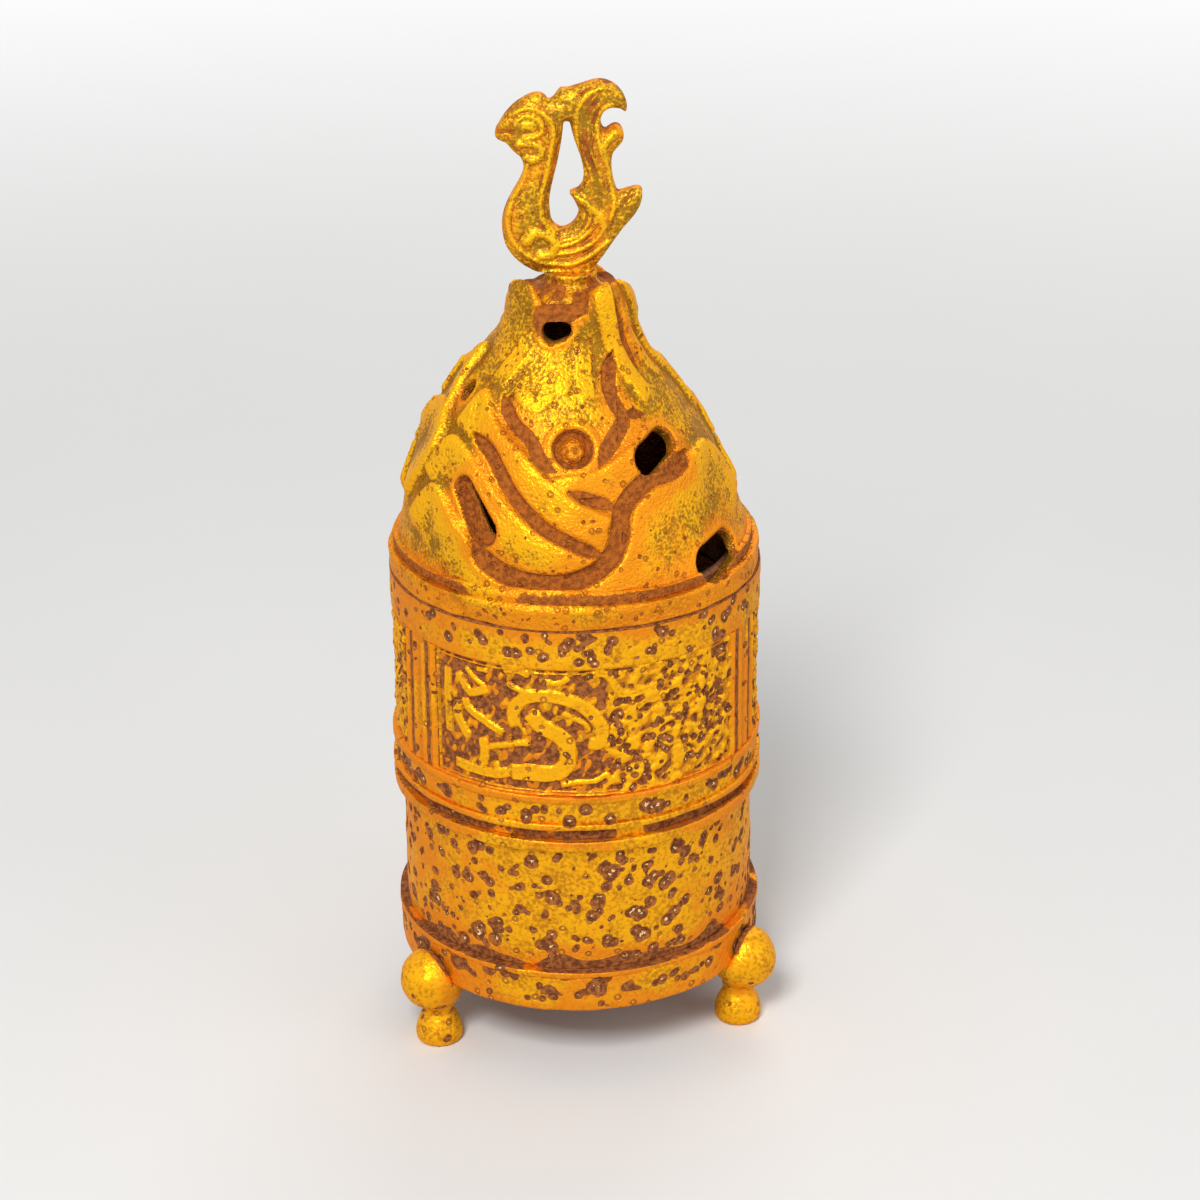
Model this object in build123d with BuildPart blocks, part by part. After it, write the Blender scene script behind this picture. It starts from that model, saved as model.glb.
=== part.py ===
from build123d import *
import os
from math import cos, radians, sin

# Hill censer in gilt bronze: a round cup on three ball feet, and a hollow pierced lid in the shape
# of overlapping hills with a bird on a short post as its handle. The lid lifts off upwards.
# Millimetres. The origin is on the cup's axis at the height of the table, +Z up, front to -Y.
# Azimuths are in degrees from the front, positive towards +X.

# Cup
leg_height = 13.2
bore_radius = 27.6
flange_radius = 31.2
bead_radius = 31.45
plain_radius = 30.0
groove_radius = 30.3
band_radius = 30.9
rim_radius = 31.1
flange_height = 6.3
bead_height = 1.1
plain_height = 22.9
low_bead_height = 1.9
groove_height = 2.1
pitted_height = 3.8
high_bead_height = 1.3
frieze_height = 22.8
rim_height = 6.8
bead_round = 0.2

# Frieze: sunk panels between upright dividers, each with a raised dragon
panel_count = 3
panel_depth = 0.8
divider_width = 8.6
reed_width = 0.8
reed_proud = 0.35
first_divider = -56.0
dragon_height = 0.75

# The dragon's main strokes: width, and points as the distance from the panel's middle along the
# wall and the height above its foot
dragon_strokes = [
    (2.2, [(-11.8, 11.7), (-11.6, 15.8), (-7.8, 17.9), (-1.5, 16.5), (2.1, 12.4), (0.6, 9.4)]),
    (2.6, [(-8.4, 13.6), (-4.7, 10.8), (-3.6, 6.3), (-6.9, 3.9), (-13.1, 3.6), (-23.0, 2.9)]),
    (1.6, [(-17.4, 7.3), (-13.8, 8.3), (-9.6, 8.6)]),
    (1.6, [(-21.3, 15.3), (-18.2, 12.2), (-14.2, 10.1)]),
    (1.6, [(-22.9, 19.6), (-20.3, 16.6), (-16.7, 17.9)]),
    (1.6, [(-1.0, 21.2), (2.2, 21.4), (5.6, 18.0), (13.1, 18.7)]),
    (1.6, [(5.6, 13.6), (9.5, 15.8), (20.8, 16.1)]),
    (1.4, [(10.7, 11.2), (14.6, 12.0), (22.0, 13.0)]),
    (1.4, [(11.6, 9.6), (19.0, 9.2), (22.0, 6.9)]),
    (2.6, [(13.4, 4.9), (16.3, 5.0), (19.6, 3.2)]),
    (1.8, [(20.4, 20.6), (23.4, 18.9), (23.6, 16.6)]),
    (1.2, [(-4.7, 1.8), (1.2, 2.5), (3.6, 2.2)]),
]

# Floor of the cup and the lip that the lid drops over
floor_thickness = 2.0
lip_wall = 1.5
lip_seat = 6.0
lip_stand = 3.8

# Feet, each held by a lug and a rivet under the floor
foot_names = {"foot_left": -53.5, "foot_right": 66.5, "foot_back": 186.5}
leg_inset = 1.0
ball_radius = 5.6
ball_height = 12.2
sole_radius = 3.5
disc_radius = 4.1
disc_height = 1.5
neck_radius = 2.9
neck_height = 5.2
lug_width = 6.0
lug_thickness = 2.2
rivet_offset = 22.4
rivet_radius = 1.2
rivet_head_radius = 2.1
rivet_head_height = 0.9

# Lid; peak_flat is a share of a peak's own size, and the hill stands a little off the axis
lid_clearance = 0.3
lid_wall = 2.2
lid_rim_radius = 30.9
lid_rim_height = 3.7
lid_groove_radius = 29.9
lid_groove_height = 1.8
lid_bore_height = 5.0
hill_height = 41.7
crown_plate = 2.0
hill_shift = -1.1
hill_proud = 1.1
peak_height = 3.0
peak_wall = 3.4
peak_flat = 0.3
recess_depth = 1.3

# Outline of the hill, heights above its foot: a bulging arc to the waist, a hollow arc to the throat
hill_radius = 29.2
shoulder_radius = 25.5
shoulder_height = 12.0
waist_radius = 17.2
waist_height = 26.4
throat_radius = 10.4
throat_height = 36.5
crown_radius = 9.4

# Overlapping hills, as raised bands along their crests: width, and points as azimuth and height
# above the hill's foot
overlapping_hills = [
    (2.6, [(-50.0, 24.4), (-34.0, 22.4), (-19.0, 19.0), (-2.0, 13.6), (16.0, 9.6)]),
    (3.0, [(-57.0, 17.4), (-49.0, 18.4), (-34.0, 15.2), (-19.0, 10.4), (10.0, 3.6)]),
    (3.2, [(-62.0, 8.0), (-54.0, 11.2), (-46.0, 8.6), (-36.0, 5.0), (-26.0, 1.7)]),
    (3.0, [(17.0, 3.0), (22.0, 8.0), (34.0, 12.2), (58.0, 14.8), (72.0, 15.2), (84.0, 9.0)]),
]
hill_groups = [(0.0, 1.0), (137.0, 0.6), (-134.0, -0.6)]
side_hills = [
    (2.0, [(0.0, 16.2), (20.0, 17.8), (42.0, 21.4)]),
    (1.8, [(35.0, 39.6), (43.0, 34.0), (52.0, 30.4), (54.5, 26.4)]),
    (2.0, [(62.0, 41.4), (80.0, 39.0), (93.0, 33.6), (104.0, 24.0), (97.0, 18.6)]),
    (2.6, [(-90.0, 29.0), (-80.0, 30.6), (-73.0, 26.6), (-70.0, 22.6)]),
    (2.8, [(-96.0, 18.6), (-84.0, 22.0), (-70.0, 21.0), (-64.0, 17.8), (-72.0, 10.6)]),
]

# Peaks round the crown: azimuth and half width in degrees, height as a share of peak_height
crown_peaks = [(-80.0, 34.0, 1.0), (62.0, 38.0, 0.9), (166.0, 36.0, 0.8)]

# Vents: azimuth, height above the hill's foot, length, radius at the lower and upper end, and
# the turn of the upper end from upright, against the clock seen from outside
vents = [
    (-11.0, 37.4, 4.8, 1.7, 1.5, -75.0),
    (43.0, 19.4, 8.6, 2.2, 2.0, -58.0),
    (-34.4, 11.2, 12.0, 2.4, 1.9, 38.0),
    (56.0, 1.2, 10.4, 2.7, 2.0, -72.0),
    (-63.0, 26.7, 3.4, 1.2, 1.0, -20.0),
    (118.0, 12.0, 9.0, 2.3, 1.6, 32.0),
    (172.0, 7.0, 8.4, 2.4, 1.5, -50.0),
    (-150.0, 22.0, 6.6, 2.1, 1.8, -28.0),
    (-108.0, 6.0, 9.6, 2.4, 1.6, 34.0),
    (160.0, 28.0, 5.2, 1.8, 1.5, 60.0),
]
blind_recess = (5.0, 21.4, 3.3)

# Post in the crown and the bird on it
stem_radius = 3.7
stem_height = 2.8
tenon_radius = 2.3
washer_radius = 4.6
washer_thickness = 1.0
peen_height = 0.8
bird_thickness = 4.6
bird_tenon_width = 3.4
bird_tenon_depth = 2.6
bird_tenon_thickness = 2.6

# Places and heights that follow from the sizes above
leg_offset = flange_radius - leg_inset
bands = [
    (flange_radius, flange_height),
    (bead_radius, bead_height),
    (plain_radius, plain_height),
    (bead_radius, low_bead_height),
    (groove_radius, groove_height),
    (bead_radius, bead_height),
    (band_radius, pitted_height),
    (bead_radius, high_bead_height),
    (band_radius, frieze_height),
    (rim_radius, rim_height),
]
seam = leg_height + sum(height for radius, height in bands)
frieze_top = seam - rim_height
frieze_bottom = frieze_top - frieze_height
lip_radius = bore_radius
hill_foot = seam + lid_rim_height + lid_groove_height
valley = hill_foot + hill_height
stem_top = valley + stem_height

os.makedirs("parts", exist_ok=True)


def upright(azimuth):
    """Upright plane through the axis: its X runs sideways at that azimuth, its normal outwards."""
    outward = (sin(radians(azimuth)), -cos(radians(azimuth)), 0)
    sideways = (cos(radians(azimuth)), sin(radians(azimuth)), 0)
    return Plane(origin=(0, 0, 0), x_dir=sideways, z_dir=outward)


def outward_place(azimuth, offset, height):
    """Point at a distance from the axis along an azimuth, at a height."""
    return (offset * sin(radians(azimuth)), -offset * cos(radians(azimuth)), height)


def stepped_outline(steps, bottom):
    """Corner points of a stack of bands, each a radius and a height, from the bottom up."""
    points = []
    for radius, height in steps:
        points += [(radius, bottom), (radius, bottom + height)]
        bottom += height
    return points


def draw_band(points, width):
    """Draws a band along points as a face of the sketch, its ends narrower."""
    places = [Vector(*point) for point in points]
    left, right = [], []
    for index, place in enumerate(places):
        way = places[min(index + 1, len(places) - 1)] - places[max(index - 1, 0)]
        share = 0.3 if index in (0, len(places) - 1) else 0.5
        across = way.normalized().rotate(Axis.Z, 90) * width * share
        left.append(place + across)
        right.append(place - across)
    with BuildLine() as outline:
        Spline(*left)
        Spline(*right)
        Line(left[0], right[0])
        Line(left[-1], right[-1])
    make_face(outline.edges())


def finish_piece(piece, name):
    """Labels a finished piece and writes it under its name."""
    piece.part.label = name
    export_step(piece.part, f"parts/{name}.step")


# Cup wall: one casting with its beads, groove, panels and foot flange
with BuildPart() as cup_wall:
    with BuildSketch(Plane.XZ):
        with BuildLine():
            wall_outline = [(bore_radius, leg_height)]
            wall_outline += stepped_outline(bands, leg_height)
            wall_outline += [(bore_radius, seam)]
            Polyline(*wall_outline, close=True)
        make_face()
    revolve(axis=Axis.Z)
    beads = cup_wall.edges().filter_by(GeomType.CIRCLE)
    beads = beads.filter_by(lambda edge: abs(edge.radius - bead_radius) < 1e-3)
    smallest_step = min(abs(bead_radius - flange_radius), abs(bead_radius - rim_radius))
    fillet(beads, radius=min(bead_round, 0.45 * bead_height, 0.9 * smallest_step))
    panel_pitch = 360.0 / panel_count
    divider_angle = divider_width / radians(1) / band_radius
    for index in range(panel_count):
        side = upright(first_divider + divider_angle / 2 + index * panel_pitch - 90)
        with BuildSketch(side):
            with BuildLine():
                Polyline(
                    (band_radius - panel_depth, frieze_bottom),
                    (bead_radius + 1, frieze_bottom),
                    (bead_radius + 1, frieze_top),
                    (band_radius - panel_depth, frieze_top),
                    close=True,
                )
            make_face()
        revolve(axis=Axis.Z, revolution_arc=panel_pitch - divider_angle, mode=Mode.SUBTRACT)
    reed_half_angle = (divider_width / 2 - reed_width) / radians(1) / band_radius
    reed_middle = (frieze_bottom + frieze_top) / 2
    for index in range(panel_count):
        for turn in (-reed_half_angle, reed_half_angle):
            azimuth = first_divider + index * panel_pitch + turn
            with BuildSketch(upright(azimuth)):
                with Locations((0, reed_middle)):
                    Rectangle(reed_width, frieze_height)
            extrude(amount=band_radius + reed_proud)
    Cylinder(bore_radius, 3 * seam, mode=Mode.SUBTRACT)
    ground_radius = band_radius - panel_depth
    for index in range(panel_count):
        with BuildPart(mode=Mode.PRIVATE) as dragon:
            with BuildSketch(upright(first_divider + (index + 0.5) * panel_pitch)):
                for width, stroke in dragon_strokes:
                    way = -1 if index == 1 else 1
                    points = [(way * ground_radius * sin(x / band_radius), frieze_bottom + z) for x, z in stroke]
                    draw_band(points, width)
            extrude(amount=band_radius + panel_depth)
            with BuildSketch(Plane.XY.offset(frieze_bottom)):
                Circle(ground_radius + dragon_height)
                Circle(ground_radius - panel_depth, mode=Mode.SUBTRACT)
            extrude(amount=frieze_height, mode=Mode.INTERSECT)
        add(dragon.part)
finish_piece(cup_wall, "cup_wall")

# Floor of the cup, let into the bottom of the bore
floor_top = leg_height + floor_thickness
with BuildPart() as cup_floor:
    with BuildSketch(Plane.XY.offset(leg_height)):
        Circle(bore_radius)
        for azimuth in foot_names.values():
            with Locations(outward_place(azimuth, rivet_offset, 0)[:2]):
                Circle(rivet_radius, mode=Mode.SUBTRACT)
    extrude(amount=floor_thickness)
finish_piece(cup_floor, "cup_floor")

# Lip inside the mouth of the cup
with BuildPart() as collar:
    with BuildSketch(Plane.XY.offset(seam - lip_seat)):
        Circle(lip_radius)
        Circle(lip_radius - lip_wall, mode=Mode.SUBTRACT)
    extrude(amount=lip_seat + lip_stand)
    chamfer(collar.faces().sort_by(Axis.Z)[-1].edges(), length=0.3 * lip_wall)
finish_piece(collar, "collar")

# Feet: a flared disc, a neck and a ball notched to the flange, with a lug under the floor
for name, azimuth in foot_names.items():
    with BuildPart() as foot:
        with BuildSketch(upright(azimuth - 90)):
            with BuildLine():
                Line((0, 0), (sole_radius, 0))
                Spline(
                    (sole_radius, 0),
                    (disc_radius, disc_height),
                    (neck_radius, neck_height),
                    (neck_radius, ball_height),
                    tangents=[(1, 0.6), (0, 1)],
                )
                Line((neck_radius, ball_height), (0, ball_height))
                Line((0, ball_height), (0, 0))
            make_face()
        revolve(axis=Axis.Z)
    leg = foot.part.moved(Location(outward_place(azimuth, leg_offset, 0)))
    with BuildPart() as foot:
        add(leg)
        with Locations(outward_place(azimuth, flange_radius, ball_height)):
            Sphere(ball_radius)
        with BuildSketch(Plane.XY.offset(leg_height)):
            Circle(flange_radius)
        extrude(amount=flange_height + ball_radius, mode=Mode.SUBTRACT)
        lug_plane = Plane(
            origin=(0, 0, leg_height - lug_thickness),
            x_dir=outward_place(azimuth, 1, 0),
            z_dir=(0, 0, 1),
        )
        with BuildSketch(lug_plane):
            lug_length = leg_offset - rivet_offset
            with Locations((rivet_offset, 0)):
                Circle(lug_width / 2)
            with Locations((rivet_offset + lug_length / 2, 0)):
                Rectangle(lug_length, lug_width)
        extrude(amount=lug_thickness)
        with BuildSketch(lug_plane):
            with Locations((rivet_offset, 0)):
                Circle(rivet_radius)
        extrude(amount=lug_thickness, mode=Mode.SUBTRACT)
    finish_piece(foot, name)

# Rivets through lug and floor, with a head at each end
for name, azimuth in foot_names.items():
    rivet_bottom = leg_height - lug_thickness - rivet_head_height
    with BuildPart() as rivet:
        with BuildSketch(Plane.XY.offset(rivet_bottom)):
            with Locations(outward_place(azimuth, rivet_offset, 0)[:2]):
                Circle(rivet_head_radius)
        extrude(amount=rivet_head_height)
        with BuildSketch(Plane.XY.offset(floor_top)):
            with Locations(outward_place(azimuth, rivet_offset, 0)[:2]):
                Circle(rivet_head_radius)
        extrude(amount=rivet_head_height)
        heads = rivet.edges().filter_by(GeomType.CIRCLE)
        fillet([heads.sort_by(Axis.Z)[0], heads.sort_by(Axis.Z)[-1]], radius=0.6 * rivet_head_height)
        with BuildSketch(Plane.XY.offset(leg_height - lug_thickness)):
            with Locations(outward_place(azimuth, rivet_offset, 0)[:2]):
                Circle(rivet_radius)
        extrude(amount=lug_thickness + floor_thickness)
    finish_piece(rivet, name.replace("foot", "rivet"))


def hill_outline(grow):
    """Outline of the hill from its foot to the crown, as X and height, moved out by a distance."""
    with BuildLine() as outline:
        rise = ThreePointArc(
            (hill_radius + grow, hill_foot),
            (shoulder_radius + grow, hill_foot + shoulder_height),
            (waist_radius + grow, hill_foot + waist_height),
        )
        TangentArc(rise @ 1, (throat_radius + grow, hill_foot + throat_height), tangent=rise % 1)
        Line((throat_radius + grow, hill_foot + throat_height), (crown_radius + grow, valley))
    return outline.line


def hill_solid(grow, top):
    """The hill as a solid, grown by a distance and cut off at a height."""
    with BuildPart() as hill:
        with BuildSketch(Plane.XZ):
            with BuildLine():
                add(hill_outline(grow))
                Line((crown_radius + grow, valley), (0, valley))
                Line((0, valley), (0, hill_foot))
                Line((0, hill_foot), (hill_radius + grow, hill_foot))
            make_face()
        revolve(axis=Axis.Z)
        split(bisect_by=Plane.XY.offset(top), keep=Keep.BOTTOM)
    return hill.part


bare_outline = Wire(hill_outline(0.0).edges())


def outline_place(height):
    """Point of the hill's outline at a height above its foot, and the way that it rises there."""
    low, high = 0.0, 1.0
    while high - low > 1e-4:
        middle = (low + high) / 2
        if (bare_outline @ middle).Y < hill_foot + height:
            low = middle
        else:
            high = middle
    return bare_outline @ low, bare_outline % low


def surface_plane(azimuth, height, turn=0.0):
    """Plane that touches the hill, its normal outwards and its X turned from upright."""
    point, upward = outline_place(height)
    place = outward_place(azimuth, point.X, point.Y)
    outward = outward_place(azimuth, upward.Y, -upward.X)
    uphill = Vector(outward_place(azimuth, upward.X, upward.Y))
    sideways = Vector(cos(radians(azimuth)), sin(radians(azimuth)), 0)
    long_way = uphill * cos(radians(turn)) - sideways * sin(radians(turn))
    return Plane(origin=place, x_dir=long_way, z_dir=outward)


hollow = hill_solid(-lid_wall, valley - crown_plate)
outer_hill = hill_solid(0.0, valley)
raised_hill = hill_solid(hill_proud, valley)

# Hills that lie over the cone, drawn as bands and cut out of the raised one together
hill_bands = list(side_hills)
for turn, stretch in hill_groups:
    for width, crest in overlapping_hills:
        hill_bands.append((width, [(turn + stretch * azimuth, height) for azimuth, height in crest]))
with BuildPart() as hills:
    for width, crest in hill_bands:
        facing = (crest[0][0] + crest[-1][0]) / 2
        points = []
        for azimuth, height in crest:
            place = outline_place(height)[0]
            points.append((place.X * sin(radians(azimuth - facing)), place.Y))
        with BuildSketch(upright(facing)):
            draw_band(points, width)
        extrude(amount=2 * flange_radius)
    add(raised_hill, mode=Mode.INTERSECT)

# Peaks round the crown, each a gable cut out of a ring
peaks = []
for azimuth, half_angle, share in crown_peaks:
    with BuildPart() as peak:
        with BuildSketch(Plane.XZ):
            with BuildLine():
                Polyline(
                    (crown_radius - peak_wall, valley - crown_plate),
                    (crown_radius, valley - crown_plate),
                    (crown_radius, valley),
                    (crown_radius - (1 - peak_flat) / 2 * peak_wall, valley + peak_height),
                    (crown_radius - (1 + peak_flat) / 2 * peak_wall, valley + peak_height),
                    close=True,
                )
            make_face()
        revolve(axis=Axis.Z)
        with BuildSketch(upright(azimuth)):
            half_width = crown_radius * sin(radians(half_angle))
            with BuildLine():
                Polyline(
                    (-half_width, valley - crown_plate),
                    (half_width, valley - crown_plate),
                    (half_width, valley),
                    (peak_flat * half_width, valley + share * peak_height),
                    (-peak_flat * half_width, valley + share * peak_height),
                    (-half_width, valley),
                    close=True,
                )
            make_face()
        extrude(amount=2 * crown_radius, mode=Mode.INTERSECT)
    peaks.append(peak.part)

# Cuts for the vents and the blind recess, square to the hill's surface
with BuildPart() as vent_cuts:
    for azimuth, height, length, big_radius, small_radius, turn in vents:
        with BuildSketch(surface_plane(azimuth, height, turn)):
            with Locations((big_radius - length / 2, 0)):
                Circle(big_radius)
            with Locations((length / 2 - small_radius, 0)):
                Circle(small_radius)
            make_hull()
        extrude(amount=2 * lid_wall, both=True)
    azimuth, height, recess_radius = blind_recess
    recess_plane = surface_plane(azimuth, height)
    with BuildSketch(recess_plane.offset(-recess_depth)):
        Circle(recess_radius)
    extrude(amount=recess_depth + 2 * hill_proud)

# Lid: rim, groove and hill in one hollow casting, pierced by the vents
with BuildPart() as lid_shell:
    with BuildSketch(Plane.XZ):
        with BuildLine():
            rim_outline = [(0, seam)]
            rim_outline += stepped_outline(
                [(lid_rim_radius, lid_rim_height), (lid_groove_radius, lid_groove_height)], seam
            )
            rim_outline += [(0, hill_foot)]
            Polyline(*rim_outline, close=True)
        make_face()
    revolve(axis=Axis.Z)
    off_axis = Location((hill_shift, 0, 0))
    add(outer_hill.moved(off_axis))
    add(hills.part.moved(off_axis))
    add([peak.moved(off_axis) for peak in peaks])
    add(hollow.moved(off_axis), mode=Mode.SUBTRACT)
    with BuildSketch(Plane.XY.offset(seam)):
        Circle(lip_radius + lid_clearance)
    extrude(amount=lid_bore_height, mode=Mode.SUBTRACT)
    with BuildSketch(Plane.XY.offset(seam + lid_bore_height)):
        Circle(hill_radius - lid_wall)
    extrude(amount=hill_foot - seam - lid_bore_height, mode=Mode.SUBTRACT)
    with BuildSketch(Plane.XY.offset(valley - 2 * crown_plate)):
        Circle(tenon_radius)
    extrude(amount=3 * crown_plate, mode=Mode.SUBTRACT)
    add(vent_cuts.part.moved(off_axis), mode=Mode.SUBTRACT)
finish_piece(lid_shell, "lid_shell")

# Post with a tenon through the crown, peened over a washer
peen_bottom = valley - crown_plate - washer_thickness - peen_height
with BuildPart() as finial_stem:
    with BuildSketch(Plane.XY.offset(valley)):
        Circle(stem_radius)
    extrude(amount=stem_height)
    with BuildSketch(Plane.XY.offset(peen_bottom + peen_height)):
        Circle(tenon_radius)
    extrude(amount=crown_plate + washer_thickness)
    with BuildSketch(Plane.XY.offset(peen_bottom)):
        Circle((tenon_radius + washer_radius) / 2)
    extrude(amount=peen_height, taper=20)
    with BuildSketch(Plane.XY.offset(stem_top)):
        Rectangle(bird_tenon_width, bird_tenon_thickness)
    extrude(amount=-bird_tenon_depth, mode=Mode.SUBTRACT)
finish_piece(finial_stem, "finial_stem")

with BuildPart() as stem_washer:
    with BuildSketch(Plane.XY.offset(valley - crown_plate - washer_thickness)):
        Circle(washer_radius)
        Circle(tenon_radius, mode=Mode.SUBTRACT)
    extrude(amount=washer_thickness)
finish_piece(stem_washer, "stem_washer")

# Bird: an open S in one flat casting, drawn from the front as X and height above the post
breast = [(-3.4, 0), (-8.2, 1.4), (-10.6, 5.2), (-10.7, 9.4), (-8.6, 13.8), (-7.3, 17.0), (-8.8, 19.7)]
throat = [(-8.8, 19.7), (-10.1, 21.1)]
beak = [(-10.1, 21.1), (-11.7, 22.3), (-11.1, 24.0)]
head = [(-11.1, 24.0), (-9.5, 26.3), (-6.6, 28.4), (-4.6, 28.8), (-3.3, 27.8)]
crest = [(-3.3, 27.8), (-2.2, 28.5), (-1.4, 29.5), (-0.4, 29.5)]
tail_top = [(-0.4, 29.5), (1.6, 30.1), (4.9, 30.9), (7.5, 29.8), (9.0, 27.4), (8.9, 25.7)]
tail_hook = [(8.9, 25.7), (7.1, 26.5), (5.4, 25.8), (5.0, 24.0), (5.6, 22.9)]
small_curl = [(5.6, 22.9), (8.1, 23.4), (8.5, 21.4), (7.0, 19.4), (6.6, 17.4), (7.5, 12.8)]
feather = [(7.5, 12.8), (9.6, 13.4), (11.2, 13.4), (11.3, 11.2), (8.8, 7.4), (5.4, 2.6), (3.4, 0)]
gap_left = [(-0.9, 24.4), (-1.3, 21.2), (-2.1, 17.2), (-3.3, 11.6), (-2.9, 7.8)]
gap_foot = [(-2.9, 7.8), (-1.2, 6.9), (0.9, 8.4), (1.3, 10.2)]
gap_wing = [(1.3, 10.2), (0.6, 11.7), (-0.2, 12.8)]
gap_right = [(-0.2, 12.8), (1.9, 14.2), (2.1, 17.2), (1.0, 21.0), (0.1, 24.4)]

with BuildPart() as phoenix:
    with BuildSketch(Plane.XZ.offset(-bird_thickness / 2)):
        with BuildLine():
            for stretch in (breast, beak, head, crest, tail_top, tail_hook, small_curl, feather):
                Spline(*[(x, stem_top + z) for x, z in stretch])
            Line(*[(x, stem_top + z) for x, z in throat])
            Line((feather[-1][0], stem_top), (breast[0][0], stem_top))
        make_face()
        with BuildLine():
            for stretch in (gap_left, gap_foot, gap_wing, gap_right):
                Spline(*[(x, stem_top + z) for x, z in stretch])
            Line(*[(x, stem_top + z) for x, z in (gap_right[-1], gap_left[0])])
        make_face(mode=Mode.SUBTRACT)
    extrude(amount=bird_thickness)
    with BuildSketch(Plane.XY.offset(stem_top)):
        Rectangle(bird_tenon_width, bird_tenon_thickness)
    extrude(amount=-bird_tenon_depth)
finish_piece(phoenix, "phoenix")
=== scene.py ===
"""Gilt-bronze hill censer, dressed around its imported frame. Front to -Y, +Z up, metres in the meshes.

The cup and the lid are closed shells of revolution. Their relief, corrosion pits and red-brown earth
are worked out on the shell's own grid in millimetres, from strokes given as azimuth in degrees and
height above the table. The feet and the bird are softened from the frame's own solids.
"""

import logging
import math
from dataclasses import dataclass, field, replace
from enum import Enum
from typing import Callable, Sequence

import bmesh
import bpy
import numpy as np
from mathutils import Matrix, Vector
from mathutils.kdtree import KDTree


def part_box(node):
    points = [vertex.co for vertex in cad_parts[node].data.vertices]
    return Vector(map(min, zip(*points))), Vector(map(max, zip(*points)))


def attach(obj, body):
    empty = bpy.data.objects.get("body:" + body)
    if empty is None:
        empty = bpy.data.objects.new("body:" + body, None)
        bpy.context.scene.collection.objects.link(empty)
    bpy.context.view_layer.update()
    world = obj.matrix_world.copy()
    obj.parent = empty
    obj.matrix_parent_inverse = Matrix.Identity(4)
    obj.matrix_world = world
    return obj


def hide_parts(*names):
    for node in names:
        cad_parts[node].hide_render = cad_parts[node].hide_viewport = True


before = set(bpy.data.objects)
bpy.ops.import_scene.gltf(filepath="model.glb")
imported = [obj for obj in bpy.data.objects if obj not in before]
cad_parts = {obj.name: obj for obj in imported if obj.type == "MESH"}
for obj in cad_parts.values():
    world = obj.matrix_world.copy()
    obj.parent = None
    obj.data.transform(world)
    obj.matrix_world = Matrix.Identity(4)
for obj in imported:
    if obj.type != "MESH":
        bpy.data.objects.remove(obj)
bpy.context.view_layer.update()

MM = 0.001
log = logging.getLogger("censer")

Colour = tuple[float, float, float]
Point = tuple[float, float]
Array = np.ndarray


def level(node: str, top: bool) -> float:
    """Height in millimetres of a frame node's lowest or highest point."""
    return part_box(node)[1 if top else 0].z / MM


WALL_FOOT = level("cup_wall", False)
SEAM = level("cup_wall", True)
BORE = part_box("cup_floor")[1].x / MM
POST_TOP = level("finial_stem", True)
POST_FOOT = level("finial_stem", False)


# Shader expressions


class Sock:
    """A node's output that can stand in a sum, a product or a comparison."""

    def __init__(self, graph: "Graph", link: bpy.types.NodeSocket) -> None:
        """Keeps the graph and the output socket."""
        self.graph = graph
        self.link = link

    def maths(self, operation: str, *values: "Sock | float") -> "Sock":
        """Adds a Math node.

        Args:
            operation: The node's operation.
            values: Its inputs in order.

        Returns:
            The result.
        """
        node = self.graph.node("ShaderNodeMath", {"operation": operation}, dict(enumerate(values)))
        return Sock(self.graph, node.outputs[0])

    def __add__(self, other: "Sock | float") -> "Sock":
        """Sum."""
        return self.maths("ADD", self, other)

    def __radd__(self, other: float) -> "Sock":
        """Sum with a number on the left."""
        return self.maths("ADD", other, self)

    def __sub__(self, other: "Sock | float") -> "Sock":
        """Difference."""
        return self.maths("SUBTRACT", self, other)

    def __rsub__(self, other: float) -> "Sock":
        """Difference with a number on the left."""
        return self.maths("SUBTRACT", other, self)

    def __mul__(self, other: "Sock | float") -> "Sock":
        """Product."""
        return self.maths("MULTIPLY", self, other)

    def __rmul__(self, other: float) -> "Sock":
        """Product with a number on the left."""
        return self.maths("MULTIPLY", other, self)

    def larger(self, other: "Sock | float") -> "Sock":
        """The larger of two values."""
        return self.maths("MAXIMUM", self, other)

    def size(self) -> "Sock":
        """Absolute value."""
        return self.maths("ABSOLUTE", self)

    def step(self, low: float, high: float) -> "Sock":
        """Smooth step from 0 at low to 1 at high.

        Args:
            low: Where it is 0.
            high: Where it is 1.

        Returns:
            The stepped value.
        """
        settings = {"interpolation_type": "SMOOTHSTEP"}
        values = {"Value": self, "From Min": low, "From Max": high}
        if high < low:
            values |= {"From Min": high, "From Max": low, "To Min": 1.0, "To Max": 0.0}
        return Sock(self.graph, self.graph.node("ShaderNodeMapRange", settings, values).outputs[0])


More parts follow.
